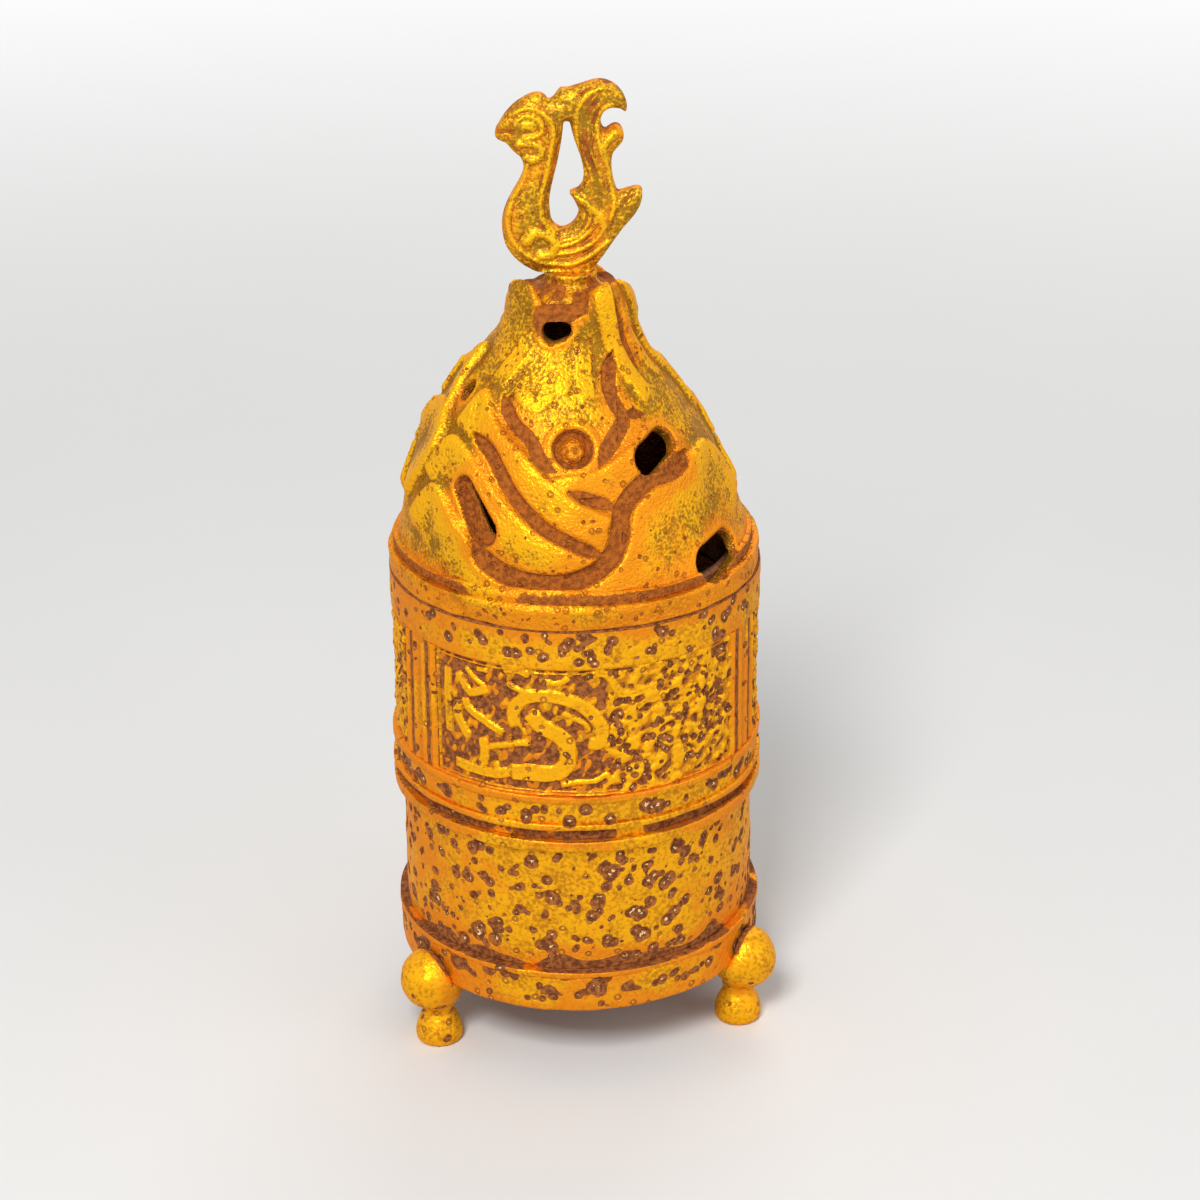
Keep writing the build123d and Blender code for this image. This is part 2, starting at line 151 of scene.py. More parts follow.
class Graph:
    """Node tree of one material or of the world."""

    def __init__(self, owner: bpy.types.Material | bpy.types.World) -> None:
        """Empties the owner's tree.

        Args:
            owner: The material or world that has the tree.
        """
        self.owner = owner
        owner.use_nodes = True
        self.tree = owner.node_tree
        self.tree.nodes.clear()

    def node(
        self, kind: str, settings: dict | None = None, values: dict | None = None
    ) -> bpy.types.Node:
        """Adds a node.

        Args:
            kind: The node's type.
            settings: Its properties, set first.
            values: Numbers, colours or links of its inputs, by place or name.

        Returns:
            The node.
        """
        made = self.tree.nodes.new(kind)
        for key, value in (settings or {}).items():
            setattr(made, key, value)
        for key, value in (values or {}).items():
            if isinstance(key, int):
                socket = made.inputs[key]
            else:
                socket = next(s for s in made.inputs if s.name == key and s.enabled)
            if isinstance(value, Sock):
                self.tree.links.new(value.link, socket)
            else:
                socket.default_value = value
        return made

    def output(self, kind: str, name: str | int = 0, **values: "Sock | float | Colour") -> Sock:
        """Adds a node for one of its outputs.

        Args:
            kind: The node's type.
            name: The output's name or place.
            values: Numbers, colours or links of its inputs, by name.

        Returns:
            The output.
        """
        return Sock(self, self.node(kind, None, values).outputs[name])

    def place(self) -> Sock:
        """Place on the object.

        Returns:
            The place in millimetres.
        """
        coordinates = self.node("ShaderNodeTexCoord")
        values = {0: Sock(self, coordinates.outputs["Object"]), 1: (1 / MM, 1 / MM, 1 / MM)}
        scaled = self.node("ShaderNodeVectorMath", {"operation": "MULTIPLY"}, values)
        return Sock(self, scaled.outputs[0])

    def painted(self, name: str) -> Sock:
        """Value that the mesh carries under a name."""
        return Sock(self, self.node("ShaderNodeAttribute", {"attribute_name": name}).outputs["Fac"])

    def noise(self, place: Sock, pitch: float, detail: float = 2.0) -> Sock:
        """Noise whose features are about one pitch apart.

        Args:
            place: Place in millimetres.
            pitch: Millimetres.
            detail: Finer layers.

        Returns:
            Value about 0.5.
        """
        return self.output("ShaderNodeTexNoise", Vector=place, Scale=1 / pitch, Detail=detail)

    def cells(self, place: Sock, pitch: float) -> tuple[Sock, Sock]:
        """Scattered points.

        Args:
            place: Place in millimetres.
            pitch: Mean distance of the points in millimetres.

        Returns:
            Distance to the nearest point in pitches, and that point's random number.
        """
        node = self.node("ShaderNodeTexVoronoi", None, {"Vector": place, "Scale": 1 / pitch})
        parts = self.node("ShaderNodeSeparateColor", None, {0: Sock(self, node.outputs["Color"])})
        return Sock(self, node.outputs["Distance"]), Sock(self, parts.outputs[0])

    def mix(self, share: Sock, first: Sock | Colour, second: Sock | Colour) -> Sock:
        """Blends two colours.

        Args:
            share: Share of the second.
            first: Colour at 0.
            second: Colour at 1.

        Returns:
            The blend.
        """
        def whole(colour: Sock | Colour) -> Sock | tuple:
            """The colour with its alpha, or the link as it is."""
            return colour if isinstance(colour, Sock) else (*colour, 1.0)

        values = {"Factor": share, "A": whole(first), "B": whole(second)}
        node = self.node("ShaderNodeMix", {"data_type": "RGBA"}, values)
        return Sock(self, next(s for s in node.outputs if s.enabled))

    def bump(self, height: Sock, depth: float, strength: float = 1.0) -> Sock:
        """Normal bent by a height.

        Args:
            height: Height from 0 to 1.
            depth: Millimetres that a height of 1 stands for.
            strength: Share of the effect.

        Returns:
            The normal.
        """
        return self.output("ShaderNodeBump", Strength=strength, Distance=depth * MM, Height=height)

    def surface(self, **values: Sock | float | tuple) -> bpy.types.Material:
        """Ends the tree in a Principled shader.

        Args:
            values: Inputs by name, with _ for a space.

        Returns:
            The material.
        """
        named = {key.replace("_", " "): value for key, value in values.items()}
        shader = self.node("ShaderNodeBsdfPrincipled", None, named)
        self.node("ShaderNodeOutputMaterial", None, {0: Sock(self, shader.outputs[0])})
        return self.owner


# Finishes


@dataclass(frozen=True)
class Gilding:
    """Worn fire gilding, red-brown earth in its hollows, corrosion pits, and painted shade, glints and
    sheen.
    """

    lit_gold: Colour
    shaded_olive: Colour
    amber: Colour
    rust: Colour = (0.46, 0.13, 0.018)
    umber: Colour = (0.26, 0.07, 0.014)
    glint_colour: Colour = (0.92, 0.62, 0.30)
    amber_reach: float = 0.5
    speck_pitch: float = 1.9
    speck_share: float = 0.6
    stipple_pitch: float = 0.62
    stipple_depth: float = 0.15
    mottle_and_shade_low: float = 0.72
    edge_tint: Colour = (1.0, 0.62, 0.25)

    def material(self, name: str) -> bpy.types.Material:
        """Builds the material.

        Args:
            name: Its name.

        Returns:
            The material.
        """
        g = Graph(bpy.data.materials.new(name))
        place = g.place()
        earth, pit, relief_shade, halo = (g.painted(key) for key in ("earth", "pit", "burnish", "halo"))
        broad = g.noise(place, 14.0, 2.0)
        cloud = g.noise(place, 3.4, 3.0)
        grit = g.noise(place, 0.8, 3.0)
        stipple = g.noise(place, self.stipple_pitch, 1.0)

        # Painted light and shade: the gold runs between a shaded olive copy and a lit copy, by random
        # mottle and by the relief's painted shade.
        fine = 0.30 * broad + 0.30 * cloud + 0.40 * grit + 0.80 * stipple
        mottle_and_shade = (fine + 0.45 * (relief_shade - 0.5)).step(self.mottle_and_shade_low, self.mottle_and_shade_low + 0.30)
        gold = g.mix(mottle_and_shade, self.shaded_olive, self.lit_gold)
        # Amber: a warm tone near the earth and at random, plus a painted warm sheen on sides and edges.
        cast = broad + 0.9 * halo + 0.45 * (cloud - 0.5)
        warm = cast.step(1.08 - self.amber_reach, 1.42 - self.amber_reach)
        gold = g.mix(warm * 0.75, gold, self.amber)
        distance, chance = g.cells(place, self.speck_pitch)
        radius = distance + 0.16 * (grit - 0.5)
        chosen = (chance - 1.0 + self.speck_share).step(0.0, 0.02)
        ring = (radius - 0.19).size().step(0.10, 0.03) * chosen
        gold = g.mix(ring * 0.7, gold, self.rust)

        soil = g.mix(grit.step(0.36, 0.64), self.umber, self.rust)
        covered = (earth + 0.55 * (grit - 0.5) + 0.25 * (cloud - 0.5)).step(0.40, 0.56)
        colour = g.mix(covered, gold, soil)
        ragged = pit + 0.75 * (grit - 0.5)
        pitted = ragged.step(0.02, 0.16)
        crust = g.mix(grit.step(0.42, 0.60), self.umber, self.rust)
        colour = g.mix(pitted, colour, crust)
        # Painted highlight: pale glints in the middle of the pits.
        glint = (pit + 1.1 * (stipple - 0.5)).step(0.80, 0.90)
        colour = g.mix(glint, colour, self.glint_colour)

        dull = covered.larger(pitted)
        height = 0.9 * stipple + 1.6 * grit * (0.35 + dull) - 1.8 * pitted + 1.2 * glint - 1.2 * ring
        return g.surface(
            Base_Color=colour,
            Metallic=0.60 - 0.54 * dull,
            Roughness=0.34 + 0.16 * cloud + 0.32 * dull,
            Specular_IOR_Level=0.25,
            Specular_Tint=(*self.edge_tint, 1.0),
            Normal=g.bump(height, self.stipple_depth),
        )


@dataclass(frozen=True)
class CastingSkin:
    """Rough brown bronze of the inside, the rivets and the washer."""

    dark: Colour = (0.10, 0.035, 0.014)
    red: Colour = (0.30, 0.10, 0.035)
    gilt: Colour = (0.72, 0.36, 0.05)

    def material(self, name: str) -> bpy.types.Material:
        """Builds the material.

        Args:
            name: Its name.

        Returns:
            The material.
        """
        g = Graph(bpy.data.materials.new(name))
        place = g.place()
        cloud, grit = g.noise(place, 5.0, 3.0), g.noise(place, 0.7, 3.0)
        colour = g.mix((cloud + 0.4 * (grit - 0.5)).step(0.38, 0.60), self.dark, self.red)
        rubbed = (cloud * grit).step(0.33, 0.38)
        colour = g.mix(rubbed, colour, self.gilt)
        return g.surface(
            Base_Color=colour,
            Metallic=0.25 + 0.6 * rubbed,
            Roughness=0.62 - 0.2 * rubbed,
            Normal=g.bump(grit, 0.12),
        )


LID_GILDING = Gilding(
    lit_gold=(0.86, 0.42, 0.008),
    shaded_olive=(0.32, 0.145, 0.010),
    amber=(0.80, 0.23, 0.010),
    amber_reach=0.57,
    speck_pitch=2.1,
    speck_share=0.7,
    stipple_pitch=0.5,
    stipple_depth=0.24,
    mottle_and_shade_low=0.73,
)
CUP_GILDING = Gilding(
    lit_gold=(0.90, 0.42, 0.008),
    shaded_olive=(0.56, 0.22, 0.010),
    amber=(0.78, 0.21, 0.012),
    rust=(0.37, 0.12, 0.030),
    umber=(0.16, 0.045, 0.018),
    amber_reach=0.54,
    speck_pitch=2.4,
    speck_share=0.4,
)
BIRD_GILDING = Gilding(
    lit_gold=(0.88, 0.47, 0.012),
    shaded_olive=(0.34, 0.165, 0.014),
    amber=(0.78, 0.22, 0.012),
    amber_reach=0.60,
    speck_share=0.12,
    stipple_pitch=0.5,
    stipple_depth=0.2,
    mottle_and_shade_low=0.74,
)
DARK_BRONZE = CastingSkin()


# Lines drawn on a surface


def smooth_step(value: Array, low: float, high: float) -> Array:
    """Smooth step from 0 at low to 1 at high, either way round."""
    share = np.clip((value - low) / (high - low), 0.0, 1.0)
    return share * share * (3.0 - 2.0 * share)


def flowing(points: Sequence, pitch: float) -> Array:
    """Smooth line through points.

    Args:
        points: Places of two or three numbers.
        pitch: Largest distance between the line's own points.

    Returns:
        The line's points.
    """
    knots = np.asarray(points, float)
    ends = np.vstack([2 * knots[0] - knots[1], knots, 2 * knots[-1] - knots[-2]])
    line = [knots[:1]]
    for a, b, c, d in zip(ends, ends[1:], ends[2:], ends[3:]):
        count = max(1, math.ceil(float(np.linalg.norm(c - b)) / pitch))
        t = (np.arange(1, count + 1) / count)[:, None]
        bend = 2 * b + (c - a) * t + (2 * a - 5 * b + 4 * c - d) * t**2 + (3 * b - a - 3 * c + d) * t**3
        line.append(0.5 * bend)
    return np.vstack(line)


def nearest_on(points: Array, line: Array) -> tuple[Array, Array, Array]:
    """Nearest places on a line.

    Args:
        points: Places, one a row.
        line: The line's points.

    Returns:
        Distance of each point, the run along the line to its nearest place, and the way from there.
    """
    start, step = line[:-1], np.diff(line, axis=0)
    length = np.linalg.norm(step, axis=1)
    best = np.full(len(points), np.inf)
    run = np.zeros(len(points))
    away = np.zeros(points.shape)
    travelled = 0.0
    for a, ab, size in zip(start, step, length):
        share = np.clip(((points - a) @ ab) / max(size * size, 1e-12), 0.0, 1.0)
        offset = points - a - share[:, None] * ab
        distance = np.linalg.norm(offset, axis=1)
        closer = distance < best
        best[closer] = distance[closer]
        run[closer] = travelled + share[closer] * size
        away[closer] = np.cross(ab / size, offset[closer]) if points.shape[1] == 3 else offset[closer]
        travelled += size
    return best, run, away


class Form(Enum):
    """How a stroke shapes the surface."""

    CORD = "rounded raised line"
    RIDGE = "crest, steep on its left and gentle on its right"
    CHANNEL = "flat-bottomed groove filled with earth"
    STAIN = "patch of earth without relief"


@dataclass(frozen=True)
class Stroke:
    """One line of relief, as azimuth and height; width, height and reach in millimetres."""

    form: Form
    points: tuple[Point, ...]
    width: float = 1.6
    height: float = 0.8
    reach: float = 6.0
    taper: float = 2.0

    def moved(self, turn: float, stretch: float) -> "Stroke":
        """The same stroke elsewhere.

        Args:
            turn: Azimuth of the copy's middle.
            stretch: Factor on its azimuths, negative for a mirror image.

        Returns:
            The copy, drawn the way that keeps its steep side up.
        """
        points = tuple((turn + stretch * azimuth, height) for azimuth, height in self.points)
        return replace(self, points=points if stretch > 0 else points[::-1])


# Shells of revolution


@dataclass(frozen=True)
class Pits:
    """A scattering of corrosion pits; radii and the depth at the middle in millimetres."""

    count: int
    radii: Point
    depth: float
    seed: int


@dataclass
class Shell:
    """Closed shell of revolution with relief on its outer rows.

    Over the grid it keeps the bare places and normals, the relief and its ground, the lift of the
    crown, and how much earth, pit and painted warm side sheen there is. Lengths are in millimetres.
    """

    columns: int
    outer: Array
    inner: Array
    lean: Callable[[Array], Array] = np.zeros_like
    outline: Array = field(init=False)
    rows: int = field(init=False)
    azimuth: Array = field(init=False)
    base: Array = field(init=False)
    normal: Array = field(init=False)
    rise: Array = field(init=False)
    ground: Array = field(init=False)
    crown: Array = field(init=False)
    earth: Array = field(init=False)
    pit: Array = field(init=False)
    side_sheen: Array = field(init=False)

    def __post_init__(self) -> None:
        """Lays out the grid and its normals."""
        self.outline = np.vstack([self.outer, self.inner])
        self.rows = len(self.outer)
        self.azimuth = np.linspace(-180.0, 180.0, self.columns, endpoint=False)
        turn = np.radians(self.azimuth)
        around = np.roll(self.outline, -1, axis=0) - np.roll(self.outline, 1, axis=0)
        around /= np.linalg.norm(around, axis=1)[:, None]
        radius, height = self.outline.T
        sine, cosine = np.sin(turn)[:, None], np.cos(turn)[:, None]
        flat = np.ones_like(sine)
        self.base = np.stack(
            [self.lean(height)[None] + sine * radius, -cosine * radius, flat * height], axis=-1
        )
        parts = [sine * around[:, 1], -cosine * around[:, 1], -flat * around[:, 0]]
        self.normal = np.stack(parts, axis=-1)
        shape = self.base.shape[:2]
        self.rise, self.ground, self.crown = np.zeros(shape), np.zeros(shape), np.zeros(shape)
        self.earth, self.pit, self.side_sheen = np.zeros(shape), np.full(shape, -1.0), np.zeros(shape)

    def at(self, azimuth: Array, height: Array) -> Array:
        """Places on the bare outer surface.

        Args:
            azimuth: Degrees.
            height: Millimetres above the table.

        Returns:
            Places, one a row.
        """
        upward = np.maximum.accumulate(self.outer[:, 1])
        radius = np.interp(height, upward, self.outer[:, 0])
        turn = np.radians(azimuth)
        across = self.lean(height) + radius * np.sin(turn)
        return np.stack([across, -radius * np.cos(turn), height], axis=-1)

    def near(self, line: Array, reach: float) -> Array:
        """Marks the outer rows' points near a line.

        Args:
            line: The line's points.
            reach: Millimetres by which its box grows.

        Returns:
            True for each point of the grid inside the box.
        """
        low, high = line.min(0) - reach, line.max(0) + reach
        inside = np.all((self.base > low) & (self.base < high), axis=-1)
        inside[:, self.rows :] = False
        return inside

    def draw(self, strokes: Sequence[Stroke]) -> None:
        """Adds strokes: the raised ones first, then the channels and stains.

        Args:
            strokes: The strokes, in any order.
        """
        for stroke in sorted(strokes, key=lambda s: s.form in (Form.CHANNEL, Form.STAIN)):
            guide = flowing(stroke.points, 1.5)
            line = self.at(guide[:, 0], guide[:, 1])
            here = self.near(line, stroke.width + stroke.reach)
            if not here.any():
                continue
            distance, run, away = nearest_on(self.base[here], line)
            total = float(np.linalg.norm(np.diff(line, axis=0), axis=1).sum())
            end = smooth_step(np.minimum(run, total - run), -0.3, stroke.taper)
            half = stroke.width / 2
            if stroke.form is Form.CORD:
                rounded = 1 - smooth_step(distance, 0.35 * half, half)
                rimmed = 0.85 * rounded + 0.34 * np.exp(-(((distance - 0.62 * half) / 0.24) ** 2))
                high = stroke.height * end * (rimmed if half > 0.9 else rounded)
                self.rise[here] = np.maximum(self.rise[here], self.ground[here] + high)
            elif stroke.form is Form.RIDGE:
                left = (away * self.normal[here]).sum(-1) > 0
                steep = 1 - smooth_step(distance, 0.0, stroke.width)
                gentle = np.clip(1 - distance / stroke.reach, 0, 1) ** 1.15
                high = stroke.height * end * np.minimum(np.where(left, steep, gentle), 0.90)
                self.rise[here] = np.maximum(self.rise[here], high)
            else:
                inside = 1 - smooth_step(distance, (half - 0.35) * end, (half + 0.35) * end + 1e-6)
                if stroke.form is Form.CHANNEL:
                    self.rise[here] = self.rise[here] * (1 - inside) - stroke.height * inside
                    inside = 1 - smooth_step(distance, (half - 0.7) * end, (half + 0.9) * end + 1e-6)
                self.earth[here] = np.maximum(self.earth[here], inside)

    def wobble(self, pitch: float, depth: float, seed: int) -> None:
        """Adds the unevenness of a hand-made casting.

        Args:
            pitch: Millimetres from hollow to hollow.
            depth: Greatest height in millimetres.
            seed: Seed of the random waves.
        """
        self.rise[:, : self.rows] += depth * waves(self.base[:, : self.rows], pitch, seed)

    def dig(self, pits: Pits, heights: Point, azimuths: Point = (-180.0, 180.0)) -> None:
        """Scatters corrosion pits, some of them drawn out sideways.

        Args:
            pits: Their number, size and seed.
            heights: Lowest and highest place.
            azimuths: First and last azimuth.
        """
        chance = np.random.default_rng(pits.seed)
        small, large = pits.radii
        for _ in range(pits.count):
            azimuth, height = chance.uniform(*azimuths), chance.uniform(*heights)
            radius = small + (large - small) * chance.random() ** 1.6
            shift = chance.uniform(-1, 1, 2) * radius * (chance.random() < 0.45)
            ends = np.array([[azimuth, height], [azimuth + 2.2 * shift[0], height + 0.9 * shift[1]]])
            line = self.at(ends[:, 0], ends[:, 1])
            here = self.near(line, 1.3 * radius)
            away = [np.linalg.norm(self.base[here] - end, axis=-1) for end in line]
            depth_share = 1 - np.minimum(*away) / radius
            self.pit[here] = np.maximum(self.pit[here], depth_share)
            self.rise[here] -= pits.depth * smooth_step(depth_share, 0.0, 0.6)

    def relief_shade(self) -> Array:
        """Painted shade and highlight: how far each point stands out of what is near and around it.

        Returns:
            0.5 where it is level, 1 on a crest and 0 in a hollow.
        """
        near = (self.rise - spread(self.rise, 4)) / 0.60
        wide = (self.rise - spread(self.rise, 18)) / 1.50
        return np.clip(0.5 + near + wide, 0.0, 1.0)

    def mesh(self, name: str) -> bpy.types.Mesh:
        """Bends a grid round the axis and closes it.

        Args:
            name: The mesh's name.

        Returns:
            The mesh, in metres.
        """
        bm = bmesh.new()
        rows = len(self.outline)
        bmesh.ops.create_grid(bm, x_segments=self.columns, y_segments=rows, size=1.0)
        mesh = bpy.data.meshes.new(name)
        bm.to_mesh(mesh)
        flat = np.empty(len(mesh.vertices) * 3)
        mesh.vertices.foreach_get("co", flat)
        share = (flat.reshape(-1, 3) + 1) / 2
        column = np.rint(share[:, 0] * self.columns).astype(int) % self.columns
        row = np.rint(share[:, 1] * rows).astype(int) % rows
        shaped = self.base + self.normal * self.rise[..., None]
        shaped[..., 2] += self.crown
        mesh.vertices.foreach_set("co", (shaped[column, row] * MM).ravel())
        painted = {"earth": self.earth, "pit": self.pit, "burnish": self.relief_shade()}
        # Warm tone near the earth, plus the painted side sheen.
        painted["halo"] = spread(self.earth, 7) + self.side_sheen
        paint(mesh, **{key: values[column, row] for key, values in painted.items()})
        bm.clear()
        bm.from_mesh(mesh)
        bmesh.ops.remove_doubles(bm, verts=bm.verts, dist=1e-3 * MM)
        bmesh.ops.recalc_face_normals(bm, faces=bm.faces)
        bm.to_mesh(mesh)
        bm.free()
        return mesh


def spread(values: Array, reach: int) -> Array:
    """Averages each value of a grid with its neighbours, twice over.

    Args:
        values: The grid.
        reach: Number of cells to each side.

    Returns:
        The softened grid.
    """
    for axis in (0, 1):
        for _ in range(2):
            moved = [np.roll(values, step, axis=axis) for step in range(-reach, reach + 1)]
            values = sum(moved) / len(moved)
    return values


def waves(places: Array, pitch: float, seed: int) -> Array:
    """Smooth random field of about -1 to 1.

    Args:
        places: Places in millimetres, three numbers each.
        pitch: Millimetres from hollow to hollow.
        seed: Seed of the waves.

    Returns:
        The field's values.
    """
    chance = np.random.default_rng(seed)
    total = np.zeros(places.shape[:-1])
    for _ in range(14):
        way = chance.normal(size=3)
        way *= 2 * math.pi / (pitch * chance.uniform(0.6, 1.6)) / np.linalg.norm(way)
        total += np.cos(places @ way + chance.uniform(0, 2 * math.pi))
    return total / math.sqrt(14)


def banded(steps: Sequence[Point], bottom: float, pitch: float, bevel: float = 0.15) -> Array:
    """Outline of a stack of bands.

    Args:
        steps: Radius and height of each band, from the bottom up.
        bottom: Height of its foot.
        pitch: Largest distance between points.
        bevel: Size of the broken edges.

    Returns:
        Radius and height of the points.
    """
    corners = []
    for radius, height in steps:
        corners += [(radius - bevel, bottom), (radius, bottom + bevel)]
        corners += [(radius, bottom + height - bevel), (radius - bevel, bottom + height)]
        bottom += height
    return even(corners, pitch)


def even(corners: Sequence[Point], pitch: float) -> Array:
    """Straight runs between corners, divided evenly.

    Args:
        corners: Radius and height of each corner.
        pitch: Largest distance between points.

    Returns:
        The points, corners included.
    """
    knots = np.asarray(corners, float)
    line = [knots[:1]]
    for a, b in zip(knots, knots[1:]):
        count = max(1, math.ceil(float(np.linalg.norm(b - a)) / pitch - 1e-6))
        line.append(a + (b - a) * (np.arange(1, count + 1) / count)[:, None])
    return np.vstack(line)


# Pieces


def show(
    name: str, mesh: bpy.types.Mesh, finish: bpy.types.Material, sharp: float = 50.0
) -> bpy.types.Object:
    """Puts a finished mesh in the scene.

    Args:
        name: The piece's name.
        mesh: Its mesh, in place.
        finish: Its material.
        sharp: Angle in degrees past which an edge stays sharp.

    Returns:
        The piece.
    """
    piece = bpy.data.objects.new(name, mesh)
    bpy.context.scene.collection.objects.link(piece)
    mesh.materials.clear()
    mesh.materials.append(finish)
    mesh.shade_smooth()
    mesh.set_sharp_from_angle(angle=math.radians(sharp))
    triangles = sum(len(face.vertices) - 2 for face in mesh.polygons)
    log.info("%s: %d triangles", name, triangles)
    return piece


def settle(piece: bpy.types.Object) -> None:
    """Makes a piece's modifiers part of its mesh.

    Args:
        piece: The piece.
    """
    bpy.context.view_layer.update()
    seen = piece.evaluated_get(bpy.context.evaluated_depsgraph_get())
    baked = bpy.data.meshes.new_from_object(seen)
    piece.modifiers.clear()
    piece.data = baked


def softened(name: str, node: str, voxel: float, passes: int) -> bpy.types.Object:
    """A frame node's shape as one even skin with soft edges.

    Args:
        name: The new piece's name.
        node: The frame node.
        voxel: Size of the skin's cells in millimetres.
        passes: Rounds of smoothing.

    Returns:
        The piece, not dressed yet.
    """
    bm = bmesh.new()
    bm.from_mesh(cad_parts[node].data)
    bmesh.ops.remove_doubles(bm, verts=bm.verts, dist=1e-3 * MM)
    mesh = bpy.data.meshes.new(name)
    bm.to_mesh(mesh)
    bm.free()
    piece = bpy.data.objects.new(name, mesh)
    bpy.context.scene.collection.objects.link(piece)
    remesh = piece.modifiers.new("skin", "REMESH")
    remesh.mode = "VOXEL"
    remesh.voxel_size = voxel * MM
    settle(piece)
    smoothed(piece.data, passes)
    return piece


def smoothed(mesh: bpy.types.Mesh, passes: int) -> None:
    """Evens out a mesh and points its faces outwards.

    Args:
        mesh: The mesh.
        passes: Rounds of smoothing.
    """
    bm = bmesh.new()
    bm.from_mesh(mesh)
    for _ in range(passes):
        bmesh.ops.smooth_vert(
            bm, verts=bm.verts, factor=0.5, use_axis_x=True, use_axis_y=True, use_axis_z=True
        )
    bmesh.ops.recalc_face_normals(bm, faces=bm.faces)
    bm.to_mesh(mesh)
    bm.free()


def corners_of(mesh: bpy.types.Mesh) -> Array:
    """Reads where a mesh's vertices are.

    Args:
        mesh: The mesh, in metres.

    Returns:
        Their places in millimetres, one a row.
    """
    flat = np.empty(len(mesh.vertices) * 3)
    mesh.vertices.foreach_get("co", flat)
    return flat.reshape(-1, 3) / MM


def paint(mesh: bpy.types.Mesh, **fields: Array) -> None:
    """Stores named values on a mesh's vertices.

    Args:
        mesh: The mesh.
        fields: The values by name, one for each vertex.
    """
    for key, values in fields.items():
        mesh.attributes.new(key, "FLOAT", "POINT").data.foreach_set("value", values)


def belongs(piece: bpy.types.Object, body: str, slot: str, *nodes: str) -> None:
    """Ties a piece to the frame.

    Args:
        piece: The piece.
        body: The body that it rides on.
        slot: A material slot of the frame; not used.
        nodes: The frame nodes that it stands for.
    """
    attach(piece, body)
    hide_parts(*nodes)


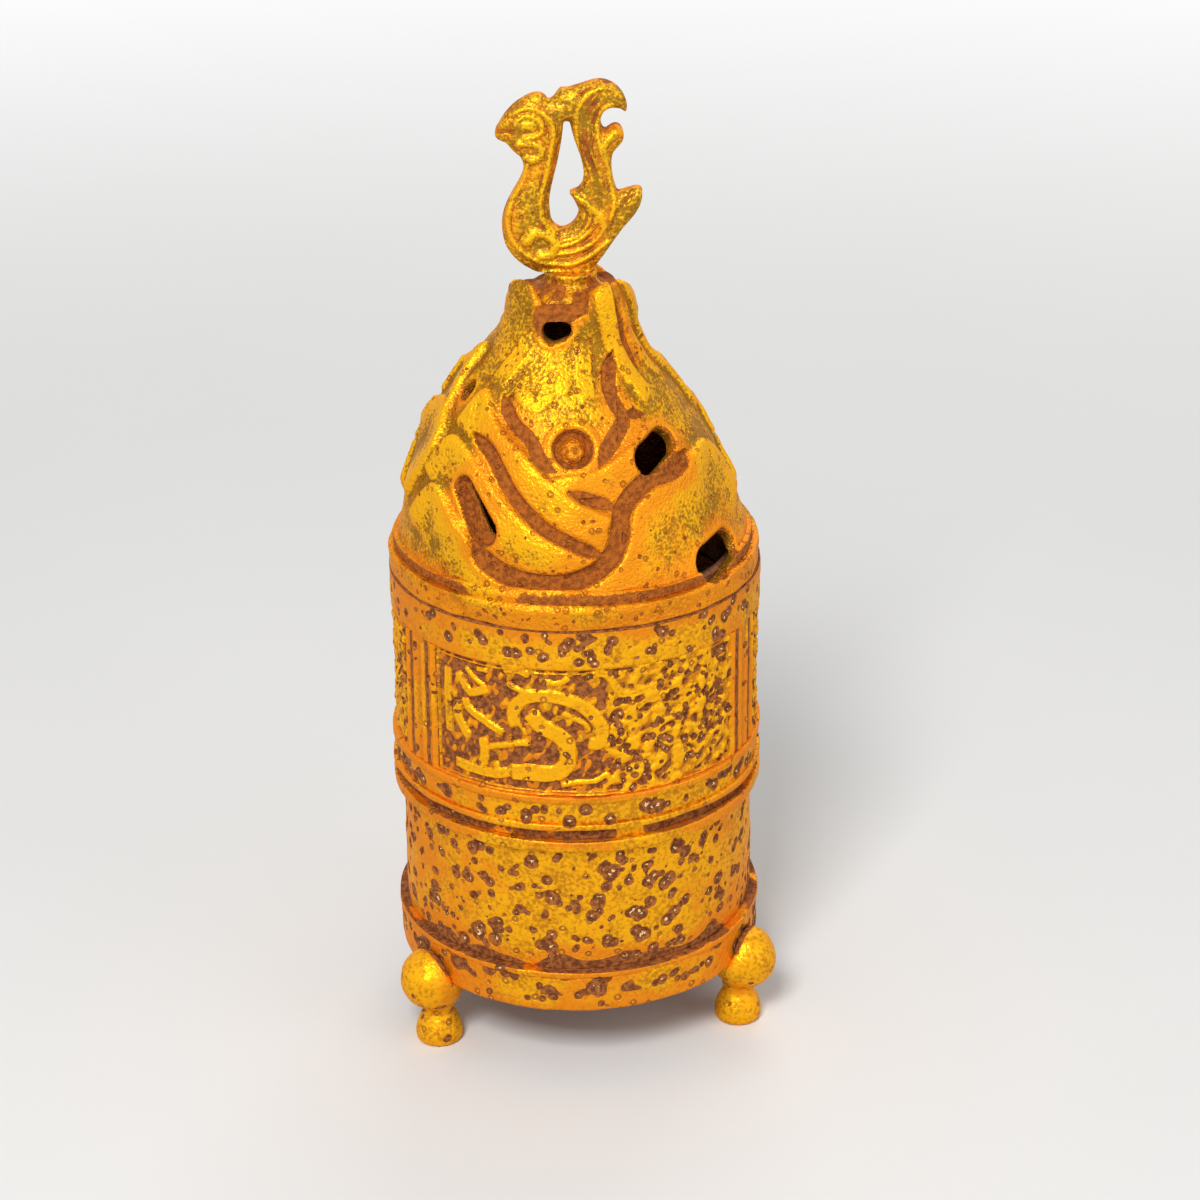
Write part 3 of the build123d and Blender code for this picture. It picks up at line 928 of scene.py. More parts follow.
@dataclass
class CupWall:
    """The cup's wall: flange, pitted wall, beads and the frieze under the rim."""

    bead: float = 31.45
    plain: float = 30.0
    groove: float = 30.3
    band: float = 30.9
    rim: float = 31.1
    flange: float = 31.2
    flange_height: float = 6.3
    bead_height: float = 1.1
    wall_height: float = 22.9
    low_bead_height: float = 1.9
    groove_height: float = 2.1
    band_height: float = 3.8
    high_bead_height: float = 1.3
    frieze_height: float = 22.8
    rim_height: float = 6.8
    panel_depth: float = 0.8
    divider_width: float = 8.6
    dividers: tuple[float, ...] = (-56.0, 64.0, 184.0)
    panels: tuple[tuple[float, float], ...] = ((4.0, 1.0), (124.0, -1.0), (244.0, 1.0))
    columns: int = 560
    pitch: float = 0.34
    frieze_columns: int = 720
    frieze_pitch: float = 0.27
    wall_pits: Pits = Pits(430, (0.50, 1.45), 0.24, 21)
    wall_specks: Pits = Pits(300, (0.25, 0.50), 0.12, 20)
    flange_pits: Pits = Pits(90, (0.6, 1.7), 0.18, 22)
    band_pits: Pits = Pits(120, (0.5, 1.5), 0.20, 23)
    groove_pits: Pits = Pits(70, (0.4, 1.0), 0.12, 24)
    rim_pits: Pits = Pits(150, (0.3, 1.15), 0.15, 25)
    frieze_pits: Pits = Pits(300, (0.25, 0.75), 0.16, 26)
    worn_pits: Pits = Pits(170, (0.25, 0.85), 0.30, 27)

    def lower(self) -> Shell:
        """Shapes the wall from its foot to the frieze.

        Returns:
            Its shell.
        """
        steps = [
            (self.flange, self.flange_height),
            (self.bead, self.bead_height),
            (self.plain, self.wall_height),
            (self.bead, self.low_bead_height),
            (self.groove, self.groove_height),
            (self.bead, self.bead_height),
            (self.band, self.band_height),
            (self.bead, self.high_bead_height),
        ]
        outer = banded(steps, WALL_FOOT, self.pitch)
        inner = even([(BORE, outer[-1, 1]), (BORE, WALL_FOOT)], 4.0)
        shell = Shell(self.columns, outer, inner)
        wall_low = WALL_FOOT + self.flange_height + self.bead_height
        wall_high = wall_low + self.wall_height
        shell.wobble(16.0, 0.10, 11)
        shell.wobble(4.0, 0.04, 12)
        shell.dig(self.wall_pits, (wall_low + 1.6, wall_high - 0.8))
        shell.dig(self.wall_specks, (wall_low + 1.6, wall_high - 0.8))
        shell.dig(self.flange_pits, (WALL_FOOT + 1.0, WALL_FOOT + 6.0))
        shell.dig(self.band_pits, (wall_high + 5.4, wall_high + 8.4))
        shell.dig(self.groove_pits, (wall_high + 2.2, wall_high + 3.8))
        height = shell.base[..., 2]
        reach = 0.8 + 0.8 * waves(shell.base, 9.0, 31)
        foot_stain = 1 - smooth_step(np.abs(height - wall_low - 0.4) - reach, -0.4, 0.9)
        groove_stain = 1 - smooth_step(np.abs(height - wall_high - 2.9) - 0.8, -0.2, 0.6)
        patchy = smooth_step(waves(shell.base, 12.0, 32), -0.9, 0.3)
        stain = np.maximum(foot_stain * (height > wall_low - 0.1), groove_stain * patchy)
        shell.earth = np.maximum(shell.earth, stain)
        flange = smooth_step(height, WALL_FOOT + 2.4, WALL_FOOT + 3.6) * (height < wall_low - 1.2)
        patchy = smooth_step(waves(shell.base, 5.0, 35), 0.0, 1.1)
        shell.earth = np.maximum(shell.earth, flange * patchy)
        shell.earth[:, shell.rows :] = 1.0
        shell.side_sheen += self.side_sheen(shell)
        return shell

    def side_sheen(self, shell: Shell) -> Array:
        """Painted warm sheen on the cup's sides, strongest at the dividers and the feet below them."""
        turn = np.radians(3 * (shell.azimuth - self.dividers[0]))
        return 0.20 * (0.5 + 0.5 * np.cos(turn))[:, None] ** 2

    def upper(self) -> Shell:
        """Shapes the frieze and the rim.

        Returns:
            Their shell.
        """
        bottom = SEAM - self.rim_height - self.frieze_height
        bands = [(self.band, self.frieze_height), (self.rim, self.rim_height)]
        outer = banded(bands, bottom, self.frieze_pitch)
        inner = even([(BORE, SEAM), (BORE, bottom)], 4.0)
        shell = Shell(self.frieze_columns, outer, inner)
        frieze_top = bottom + self.frieze_height
        along = (shell.azimuth[:, None, None] - np.array(self.dividers)) * math.radians(self.band)
        turn = 2 * math.pi * self.band
        along = np.abs((along + turn / 2) % turn - turn / 2).min(-1)
        height = shell.base[..., 2]
        from_side = along - self.divider_width / 2
        inside = np.minimum(np.minimum(from_side, height - bottom - 0.25), frieze_top - 0.05 - height)
        sunk = smooth_step(inside, -0.05, 0.35)
        sunk[:, shell.rows :] = 0.0
        shell.ground = -self.panel_depth * sunk
        shell.rise = shell.ground.copy()
        busy = np.zeros_like(shell.azimuth)
        for middle, way in self.panels:
            off = (shell.azimuth - middle + 180) % 360 - 180
            share = 0.42 + 0.58 * smooth_step(way * off, 3.0, 14.0)
            busy = np.maximum(busy, share * (np.abs(off) < 60))
        bubbles = 0.52 + 0.50 * waves(shell.base, 2.3, 41)
        shell.rise += sunk * busy[:, None] * (0.22 + 0.60 * np.clip(bubbles, 0, 1))
        shell.rise += 0.12 * sunk * waves(shell.base, 1.8, 42)
        shell.rise += 0.35 * np.exp(-(((from_side + 0.5) / 0.35) ** 2)) * (height < frieze_top)
        shell.rise += 0.30 * np.exp(-(((along - 1.2) / 0.45) ** 2)) * (height < frieze_top - 1)
        for middle, way in self.panels:
            shell.draw(dragon_panel(bottom, middle, way, self.band))
        standing = shell.rise - shell.ground
        shell.earth = sunk * (1 - smooth_step(standing, 0.12, 0.46))
        # Painted warm sheen of the sides, kept off the raised tops of the relief.
        shell.side_sheen += self.side_sheen(shell) - 0.7 * sunk * smooth_step(standing, 0.30, 0.60)
        gutter = 1 - smooth_step(np.abs(from_side + 1.9), 0.2, 0.9)
        shell.earth = np.maximum(shell.earth, 0.75 * gutter)
        shell.earth *= height < frieze_top
        shell.wobble(18.0, 0.08, 13)
        shell.wobble(2.4, 0.05, 14)
        shell.dig(self.rim_pits, (frieze_top + 0.8, SEAM - 0.8))
        shell.dig(self.frieze_pits, (bottom + 1.0, frieze_top - 1.0))
        for middle, way in self.panels:
            worn_half = tuple(sorted((middle + 6.0 * way, middle + 52.0 * way)))
            shell.dig(self.worn_pits, (bottom + 0.8, frieze_top - 0.8), worn_half)
        shell.earth = np.maximum(shell.earth, 1 - smooth_step(SEAM - height, 0.12, 0.4))
        shell.earth[:, shell.rows :] = 1.0
        return shell

    def build(self) -> None:
        """Builds both pieces of the wall."""
        finish = CUP_GILDING.material("cup_gilding")
        for name, shell in (("cup_wall_lower", self.lower()), ("cup_wall_frieze", self.upper())):
            belongs(show(name, shell.mesh(name), finish), "cup", "gilt_body", "cup_wall")


def dragon_panel(bottom: float, middle: float, way: float, radius: float) -> list[Stroke]:
    """The running dragon of one frieze panel.

    Args:
        bottom: Height of the frieze's foot.
        middle: Azimuth of the panel's middle.
        way: 1, or -1 for the mirror image.
        radius: Radius of the band.

    Returns:
        Its strokes.
    """
    drawn = [
        (2.3, 0.85, [
            (-11.8, 11.7), (-12.5, 14.2), (-10.8, 16.9), (-7.8, 17.9), (-4.6, 17.7), (-1.5, 16.5),
            (0.9, 14.3), (2.4, 11.8), (1.8, 9.5), (-0.1, 9.6),
        ]),
        (3.0, 0.9, [
            (-9.5, 14.7), (-7.9, 12.7), (-4.7, 10.8), (-3.4, 8.7), (-3.4, 6.3), (-4.5, 4.5),
            (-6.9, 3.8), (-9.7, 3.8), (-13.1, 3.6),
        ]),
        (1.9, 0.8, [(-13.1, 3.6), (-16.0, 2.7), (-19.8, 2.7), (-24.0, 2.9)]),
        (1.3, 0.75, [(-17.1, 7.3), (-13.8, 8.3), (-10.7, 9.1), (-9.6, 8.6)]),
        (1.8, 0.8, [(-18.3, 8.9), (-17.7, 6.9), (-18.1, 4.3), (-19.5, 3.4)]),
        (1.5, 0.8, [(-21.3, 15.3), (-20.8, 13.6), (-18.2, 12.2), (-15.2, 10.8), (-14.2, 10.1)]),
        (1.8, 0.8, [(-23.1, 14.4), (-22.9, 11.5), (-21.6, 9.2), (-20.6, 8.2)]),
        (1.5, 0.75, [(-22.9, 19.6), (-21.6, 17.9), (-20.3, 16.5), (-18.1, 17.2), (-16.7, 17.9)]),
        (1.1, 0.7, [(-21.2, 21.0), (-19.2, 19.1), (-17.3, 18.1)]),
        (1.0, 0.65, [(-19.2, 20.9), (-17.6, 21.1), (-16.6, 20.9)]),
        (1.5, 0.7, [(-14.4, 21.7), (-12.1, 22.2), (-10.4, 21.8), (-9.4, 21.3)]),
        (1.2, 0.7, [(-13.5, 19.7), (-12.1, 18.8), (-10.2, 18.4), (-6.7, 18.6)]),
        (1.1, 0.65, [(-4.4, 15.0), (-2.3, 14.1), (-0.4, 12.9), (0.1, 11.4)]),
        (1.2, 0.7, [(-15.6, 5.2), (-15.4, 3.8), (-14.2, 3.4)]),
        (1.4, 0.75, [
            (-1.0, 21.2), (2.2, 21.9), (3.8, 20.6), (5.6, 17.9), (7.3, 17.6), (9.5, 18.1),
            (13.1, 18.7),
        ]),
        (1.0, 0.6, [(-3.9, 17.7), (-1.8, 17.1), (0.3, 16.1), (1.8, 14.6)]),
        (1.5, 0.75, [(5.6, 13.6), (8.1, 15.3), (11.9, 16.3), (16.9, 16.3), (20.8, 16.1)]),
        (1.3, 0.7, [(10.7, 11.2), (14.6, 12.0), (18.3, 13.0), (22.0, 13.0)]),
        (1.2, 0.7, [(11.6, 9.8), (15.0, 10.1), (19.0, 9.2), (22.0, 6.9)]),
        (1.0, 0.65, [(11.8, 20.8), (13.1, 22.0), (14.4, 20.8), (13.1, 19.6), (11.9, 20.5)]),
        (1.9, 0.75, [(20.4, 20.8), (23.1, 18.9), (23.9, 17.1), (21.9, 16.0)]),
        (1.1, 0.7, [(11.9, 6.4), (15.0, 7.4), (19.0, 6.1), (20.9, 3.6)]),
        (3.0, 0.85, [(14.4, 4.8), (16.3, 4.6), (18.2, 4.0)]),
        (1.0, 0.65, [(8.1, 5.3), (10.1, 6.2), (11.9, 4.2)]),
        (1.1, 0.7, [(-4.7, 1.8), (-2.0, 2.4), (1.2, 2.6), (3.1, 3.6), (3.9, 1.1)]),
        (1.2, 0.65, [(19.1, 1.5), (22.9, 3.5), (25.5, 5.6), (24.1, 9.2)]),
        (1.7, 0.6, [(-25.0, 7.7), (-25.2, 13.0), (-25.0, 19.9)]),
        (2.2, 0.8, [(-11.2, 11.2), (-10.4, 11.8)]),
        (1.0, 0.65, [(5.6, 11.2), (5.3, 9.1), (2.8, 9.1), (4.2, 7.4), (6.1, 7.8)]),
        (1.0, 0.6, [(3.4, 12.0), (5.6, 11.8), (6.1, 9.6)]),
        (1.2, 0.6, [(6.5, 20.6), (8.6, 21.5), (10.4, 20.2)]),
        (1.3, 0.65, [(17.0, 19.6), (18.8, 20.9), (17.6, 18.0)]),
        (1.1, 0.6, [(6.0, 2.2), (8.4, 3.4), (10.6, 2.0)]),
        (1.4, 0.6, [(21.8, 10.9), (24.3, 11.8), (25.0, 14.0)]),
        (1.2, 0.6, [(-8.0, 20.7), (-5.0, 20.2), (-2.8, 21.3)]),
    ]
    degrees = 1 / math.radians(radius)
    strokes = []
    for width, height, points in drawn:
        placed = tuple((middle + way * x * degrees, bottom + y) for x, y in points)
        strokes.append(Stroke(Form.CORD, placed, 1.3 * width, height, 0.5, 0.6))
    side, top = 27.4 * degrees, bottom + 21.9
    for low, high in ((bottom + 0.75, top), (top, bottom + 0.75)):
        level_line = ((middle - side, low), (middle, low), (middle + side, low))
        strokes.append(Stroke(Form.CORD, level_line, 0.55, 0.5, 0.5, 0.1))
        upright = middle + (side if high > low else -side)
        upright_line = ((upright, low), (upright, 0.5 * (low + high)), (upright, high))
        strokes.append(Stroke(Form.CORD, upright_line, 0.6, 0.6, 0.5, 0.1))
    return strokes


@dataclass(frozen=True)
class Vent:
    """Slanted opening in the hill, a slot with unequal rounded ends.

    Its turn is in degrees from upright. One with a shelf is a recess of that depth, and only a
    narrow slot goes through.
    """

    azimuth: float
    height: float
    length: float
    low_radius: float
    high_radius: float
    turn: float
    shelf: float = 0.0

    def axes(self, shell: Shell) -> tuple[Array, Array, Array, Array]:
        """Finds how the opening lies.

        Args:
            shell: The lid's shell.

        Returns:
            Its middle, its long way, its cross way and the way outward.
        """
        heights = np.array([self.height, self.height + 0.5])
        middle, above = shell.at(np.full(2, self.azimuth), heights)
        uphill = (above - middle) / np.linalg.norm(above - middle)
        turn = math.radians(self.azimuth)
        sideways = np.array([math.cos(turn), math.sin(turn), 0.0])
        outward = np.cross(sideways, uphill)
        lean = math.radians(self.turn)
        long_way = uphill * math.cos(lean) - sideways * math.sin(lean)
        return middle, long_way, np.cross(outward, long_way), outward

    def distance(self, shell: Shell, places: Array) -> Array:
        """Distance of places to the opening's edge.

        Args:
            shell: The lid's shell.
            places: Places in millimetres, one a row.

        Returns:
            Millimetres, negative inside.
        """
        middle, long_way, cross_way, _ = self.axes(shell)
        x, y = (places - middle) @ long_way, (places - middle) @ cross_way
        low, high = self.low_radius - self.length / 2, self.length / 2 - self.high_radius
        share = np.clip((x - low) / (high - low), 0.0, 1.0)
        radius = self.low_radius + share * (self.high_radius - self.low_radius)
        return np.hypot(x - low - share * (high - low), y) - radius

    def cut(self, bm: bmesh.types.BMesh, shell: Shell) -> None:
        """Adds the opening's cutter to a mesh, a prism through the wall.

        Args:
            bm: The mesh of all cutters.
            shell: The lid's shell.
        """
        middle, long_way, cross_way, outward = self.axes(shell)
        ring = bmesh.ops.create_circle(bm, cap_ends=True, segments=44, radius=1.0)["verts"]
        low, high = self.low_radius - self.length / 2, self.length / 2 - self.high_radius
        share, aside = (0.42, -0.5 * self.low_radius) if self.shelf else (1.0, 0.0)
        for vert in ring:
            upper = vert.co.x > 0
            radius, shift = (self.high_radius, high) if upper else (self.low_radius, low)
            along, across = shift + share * radius * vert.co.x, aside + share * radius * vert.co.y
            place = middle + long_way * along + cross_way * across
            vert.co = Vector((place - 5.0 * outward) * MM)
        face = ring[0].link_faces[0]
        grown = bmesh.ops.extrude_face_region(bm, geom=[face], use_keep_orig=True)["geom"]
        top = [part for part in grown if isinstance(part, bmesh.types.BMVert)]
        bmesh.ops.translate(bm, verts=top, vec=Vector(outward * 9.0 * MM))


@dataclass
class Lid:
    """The hollow pierced lid: rim, groove, overlapping hills and peaks round the crown."""

    rim: float = 30.9
    rim_height: float = 3.7
    groove: float = 29.9
    groove_height: float = 1.8
    wall: float = 2.2
    lip_gap: float = 0.3
    bore_height: float = 5.0
    crown_plate: float = 2.0
    tenon: float = 2.35
    columns: int = 456
    pitch: float = 0.34
    rim_specks: Pits = Pits(130, (0.18, 0.42), 0.10, 27)
    hill_specks: Pits = Pits(300, (0.18, 0.42), 0.10, 28)
    vents: tuple[Vent, ...] = (
        Vent(-11.0, 126.2, 4.8, 1.7, 1.5, -75.0),
        Vent(42.5, 108.3, 9.6, 2.55, 2.35, -69.0),
        Vent(-34.4, 100.0, 12.0, 2.4, 1.9, 38.0, 1.5),
        Vent(56.0, 89.9, 11.4, 3.15, 2.6, -78.0),
        Vent(-63.0, 115.5, 3.4, 1.2, 1.0, -20.0),
        Vent(118.0, 100.8, 9.0, 2.3, 1.6, 32.0),
        Vent(172.0, 95.8, 8.4, 2.4, 1.5, -50.0),
        Vent(-150.0, 110.8, 6.6, 2.1, 1.8, -28.0),
        Vent(-108.0, 94.8, 9.6, 2.4, 1.6, 34.0),
        Vent(160.0, 116.8, 5.2, 1.8, 1.5, 60.0),
    )
    button: Point = (5.0, 110.2)
    button_radius: float = 3.2

    @staticmethod
    def lean(height: Array) -> Array:
        """How far the hill leans to the left at a height."""
        heights = (86.0, 98.0, 106.0, 112.0, 118.0, 122.0, 126.0)
        return np.interp(height, heights, (0.0, -1.1, -1.4, -1.7, -2.0, -1.2, -0.5))

    @staticmethod
    def peaks(azimuth: Array) -> Array:
        """Height of the crown's peaks, which stand left, right and behind.

        Args:
            azimuth: Evenly spaced degrees, once round.

        Returns:
            Millimetres above the crown.
        """
        knots = [
            (-180, 1.4), (-165, 0.4), (-140, 0.0), (-110, 0.2), (-88, 0.7), (-70, 2.4), (-58, 4.0),
            (-40, 4.1), (-31, 1.4), (-22, -1.0), (10, -0.9), (20, 0.7), (33, 2.7), (56, 3.0),
            (72, 1.8), (88, 0.6), (120, 0.1), (140, 1.1), (160, 2.5), (172, 2.3),
        ]
        sharp = np.interp(azimuth, *zip(*knots), period=360)
        moved = [np.roll(sharp, step) for step in range(-4, 5)]
        return sum(moved) / len(moved)

    def strokes(self) -> list[Stroke]:
        """Draws the hills of the front, and the smaller ones behind.

        Returns:
            Their strokes.
        """
        ridge, channel, cord, stain = Form.RIDGE, Form.CHANNEL, Form.CORD, Form.STAIN
        front = [
            Stroke(ridge, (
                (-56, 110.5), (-50.5, 114.5), (-45, 116.1), (-34.2, 112.6), (-19.4, 109.5),
                (-10, 106.7), (-1.9, 103.9), (7, 101.6), (17.6, 99.3),
            ), 1.3, 1.15, 7.0, 1.5),
            Stroke(ridge, (
                (-64, 102.5), (-58, 107.2), (-52.6, 109.1), (-43, 107.9), (-33.6, 105.5),
                (-26.6, 103.1), (-18.9, 100.5), (-11.3, 98.1), (-0.8, 95.6), (10.6, 93.5),
            ), 1.3, 1.15, 6.5, 1.5),
            Stroke(ridge, (
                (-68, 93.5), (-61, 99.2), (-54, 101.6), (-45.9, 99), (-36.9, 95.6), (-29, 92.3),
                (-21.3, 90.3), (-11.2, 89.2), (-1.5, 89.1), (9.4, 90.5), (16.6, 93), (21.1, 96.8),
                (25.1, 100.5), (33.5, 102.6), (45.3, 103.4), (60.1, 105.2), (70.4, 105.9),
                (77, 104.6), (83.5, 100.2), (88, 94.5),
            ), 1.2, 1.2, 8.0, 3.0),
            Stroke(ridge, (
                (-6, 105.4), (0.3, 106), (10, 106.3), (19.3, 107.4), (33.3, 109.5), (42.4, 111.2),
            ), 1.2, 0.9, 4.5, 2.0),
            Stroke(channel, (
                (-35.4, 116.9), (-29, 114.8), (-23.3, 113.1), (-14.7, 111.3), (-8, 108.2),
                (-1.6, 106.9),
            ), 2.0, 0.45, 1.0, 3.0),
            Stroke(channel, (
                (14.4, 107.2), (18.1, 109.2), (26, 111.4), (32.3, 113.4), (30.8, 116.5),
                (34.4, 119.8), (39, 122.6),
            ), 2.3, 0.45, 1.0, 3.0),
            Stroke(channel, ((32.3, 113.4), (38, 113.6), (47, 113.1)), 1.7, 0.4, 1.0, 2.5),
            Stroke(channel, (
                (-45, 111.0), (-31.1, 108.7), (-21.7, 104.5), (-15.2, 101.7), (-7.8, 99),
                (1, 96.8), (9.1, 95), (13.5, 94.3),
            ), 2.0, 0.5, 1.0, 4.0),
            Stroke(channel, (
                (-34, 95.4), (-27.1, 92.6), (-17.7, 90.9), (-7.8, 90.4), (0.5, 90.8), (8.7, 92.3),
                (14.5, 94.4), (18.3, 97.3), (20.8, 100.8), (26.5, 103.1), (35.5, 104.7),
                (46, 104.9), (60, 106.6),
            ), 2.9, 0.55, 1.0, 3.5),
            Stroke(channel, (
                (0.9, 104.4), (8.5, 103.1), (15.1, 102.1), (19.6, 100.9),
            ), 1.9, 0.45, 1.0, 3.0),
            Stroke(cord, (
                (31.0, 131.5), (35.5, 127.5), (41.5, 122.9), (48, 119.6), (52.4, 116.8),
                (54.5, 114),
            ), 4.2, 0.95, 1.5, 3.0),
            Stroke(cord, (
                (57, 131.5), (70, 129.8), (80, 128.0), (91.2, 123.4), (99, 117.5), (104, 112.0),
                (96, 107.5),
            ), 4.2, 1.0, 1.5, 3.0),
            Stroke(cord, ((58, 129), (66, 123.5), (75, 119.5), (84, 115)), 2.8, 0.5, 1.5, 3.0),
            Stroke(channel, ((48, 128.5), (54.5, 123.5), (62.5, 118.3)), 1.3, 0.25, 1.0, 3.0),
            Stroke(cord, (
                (-27, 119.0), (-21.7, 117.1), (-13.6, 115.9), (-8, 117.2), (-5, 119.2),
            ), 3.4, 0.38, 1.5, 3.5),
            Stroke(cord, ((-3, 116.4), (2, 118.6), (5, 121.6)), 3.4, 0.34, 1.5, 3.5),
            Stroke(cord, ((14, 125), (15.5, 120), (18, 115.0)), 3.8, 0.42, 1.5, 5.0),
            Stroke(cord, ((-33, 125), (-38, 120.5), (-44, 117)), 4.4, 0.5, 1.5, 5.0),
            Stroke(stain, ((-26, 125.4), (-20, 128.2), (-4, 129.6), (10, 129.9)), 3.6, 0.0, 1.0, 1.0),
            Stroke(ridge, (
                (-92, 117.5), (-84, 120.2), (-79.2, 120.8), (-74, 117.0), (-70, 111.4),
            ), 1.1, 1.3, 5.5, 1.0),
            Stroke(ridge, (
                (-98, 106.5), (-88, 111), (-76, 112.4), (-67.1, 110.9), (-61.8, 107.5),
                (-66.8, 102.6), (-74.5, 97),
            ), 1.0, 1.5, 7.0, 1.5),
            Stroke(cord, ((-66, 133), (-69, 131), (-73, 129)), 3.0, 0.7, 1.0, 1.2),
        ]
        behind = [stroke.moved(137.0, 0.60) for stroke in front[:10]]
        behind += [stroke.moved(-134.0, -0.60) for stroke in front[:10]]
        return front + behind

    def shell(self) -> Shell:
        """Lays out the lid's shell, still without its hills.

        Returns:
            The shell.
        """
        foot = SEAM + self.rim_height + self.groove_height
        bands = [(self.rim, self.rim_height), (self.groove, self.groove_height)]
        rim = banded(bands, SEAM, self.pitch)
        rise = [
            (29.1, foot + 0.1), (28.05, 92.2), (27.1, 96.0), (25.6, 100.0), (24.1, 104.0),
            (22.1, 108.0), (19.2, 112.0), (16.5, 115.8), (13.2, 120.0), (10.9, 124.0),
            (10.2, 127.4),
        ]
        crown = [
            (10.2, 127.4), (9.9, 128.6), (9.3, 129.5), (8.6, 129.9), (7.8, 129.8), (7.0, 129.7),
            (5.6, 129.9), (self.tenon, 130.1),
        ]
        slope, top = flowing(rise, self.pitch), flowing(crown, self.pitch)
        hill = np.vstack([slope, top[1:]])
        outer = np.vstack([rim, hill])
        plate = hill[-1, 1] - self.crown_plate
        hollow = [(radius - self.wall, height - 0.3 * self.wall) for radius, height in rise[:0:-1]]
        bore = BORE + self.lip_gap
        inside = [(self.tenon, plate), (7.0, plate)] + hollow
        inside += [(27.2, foot), (bore, SEAM + self.bore_height), (bore, SEAM)]
        shell = Shell(self.columns, outer, even(inside, 3.0), self.lean)
        throat = len(rim) + len(slope)
        rows = throat + np.array([-6, -1, 3, 6, 9, 14])
        lifted = np.interp(np.arange(len(shell.outline)), rows, (0, 0.25, 0.8, 1.0, 0.85, 0.0))
        shell.crown = self.peaks(shell.azimuth)[:, None] * lifted
        return shell

    def build(self) -> None:
        """Builds the lid and cuts its vents."""
        shell = self.shell()
        shell.draw(self.strokes())
        self.press_button(shell)
        for vent in self.vents:
            self.round_edge(shell, vent)
        self.soil(shell)
        shell.dig(self.rim_specks, (SEAM + 0.6, SEAM + 3.2))
        shell.dig(self.hill_specks, (SEAM + 6.0, 124.0))
        name = "lid_hills"
        piece = show(name, shell.mesh(name), LID_GILDING.material("lid_gilding"))
        self.pierce(piece, shell)
        belongs(piece, "lid", "gilt_lid", "lid_shell")

    def round_edge(self, shell: Shell, vent: Vent) -> None:
        """Raises a thin lip round a vent, rounds its edge and sinks its shelf.

        Args:
            shell: The lid's shell.
            vent: The vent.
        """
        middle = vent.axes(shell)[0]
        here = shell.near(middle[None], vent.length)
        edge = vent.distance(shell, shell.base[here])
        lip = 0.20 * np.exp(-(((edge - 0.75) / 0.4) ** 2))
        inward = np.clip(0.6 - edge, 0.0, 0.6)
        shell.rise[here] += lip - (0.6 - np.sqrt(np.maximum(0.36 - inward**2, 0.0)))
        shell.earth[here] = np.maximum(shell.earth[here], 1 - smooth_step(edge, 0.0, 0.45))
        if vent.shelf:
            shell.rise[here] -= vent.shelf * smooth_step(edge, 0.1, -0.35)

    def soil(self, shell: Shell) -> None:
        """Makes the casting uneven and lays earth in the groove, the seam and the crown.

        Args:
            shell: The lid's shell.
        """
        height = shell.base[..., 2]
        shell.wobble(15.0, 0.14, 15)
        shell.wobble(4.5, 0.07, 16)
        groove = 1 - smooth_step(np.abs(height - SEAM - self.rim_height - 0.9), 0.5, 1.1)
        patchy = smooth_step(waves(shell.base, 20.0, 34), -1.7, -0.5)
        seam = 1 - smooth_step(height - SEAM, 0.08, 0.35)
        shell.earth = np.maximum(shell.earth, np.maximum(groove * patchy, seam))
        low = smooth_step(self.peaks(shell.azimuth), 1.6, 0.2)[:, None]
        radius = shell.outline[:, 0][None] - 2.0 * low - 0.7 * waves(shell.base, 5.0, 36)
        valley = (height > 122) * smooth_step(radius, 8.6, 7.6)
        shell.earth = np.maximum(shell.earth, 0.85 * valley)
        shell.rise += 0.35 * valley * waves(shell.base, 4.0, 37)
        shell.earth[:, shell.rows :] = 1.0

    def press_button(self, shell: Shell) -> None:
        """Sinks the round blind recess with its domed floor.

        Args:
            shell: The lid's shell.
        """
        middle = shell.at(np.array([self.button[0]]), np.array([self.button[1]]))
        here = shell.near(middle, 7.0)
        away = np.linalg.norm(shell.base[here] - middle[0], axis=-1)
        edge = self.button_radius
        floor = -1.45 + 1.25 * np.clip(1 - (away / (edge - 0.75)) ** 2, 0, 1) ** 0.7
        collar = 0.25 * np.exp(-(((away - edge - 0.6) / 0.5) ** 2))
        within = 1 - smooth_step(away, edge - 0.25, edge + 0.2)
        outside = np.maximum(shell.rise[here], 0.2 * (away < edge + 1.5)) + collar
        shell.rise[here] = outside * (1 - within) + floor * within
        # Painted shade: a ring of earth darkens the groove round the dome.
        ring = np.exp(-(((away - edge + 0.35) / 0.55) ** 2))
        kept = shell.earth[here] * (away > edge + 0.8)
        shell.earth[here] = np.maximum(kept, np.maximum(ring, 0.45 * within))

    def pierce(self, piece: bpy.types.Object, shell: Shell) -> None:
        """Cuts the vents through the lid's wall.

        Args:
            piece: The lid.
            shell: Its shell.
        """
        bm = bmesh.new()
        for vent in self.vents:
            vent.cut(bm, shell)
        bmesh.ops.recalc_face_normals(bm, faces=bm.faces)
        mesh = bpy.data.meshes.new("vent_cutter")
        bm.to_mesh(mesh)
        bm.free()
        ones = np.ones(len(mesh.vertices))
        paint(mesh, earth=ones, pit=-ones)
        cutter = bpy.data.objects.new("vent_cutter", mesh)
        bpy.context.scene.collection.objects.link(cutter)
        cut = piece.modifiers.new("vents", "BOOLEAN")
        cut.operation = "DIFFERENCE"
        cut.solver = "MANIFOLD"
        cut.object = cutter
        settle(piece)
        bpy.data.objects.remove(cutter)
        piece.data.set_sharp_from_angle(angle=math.radians(50))


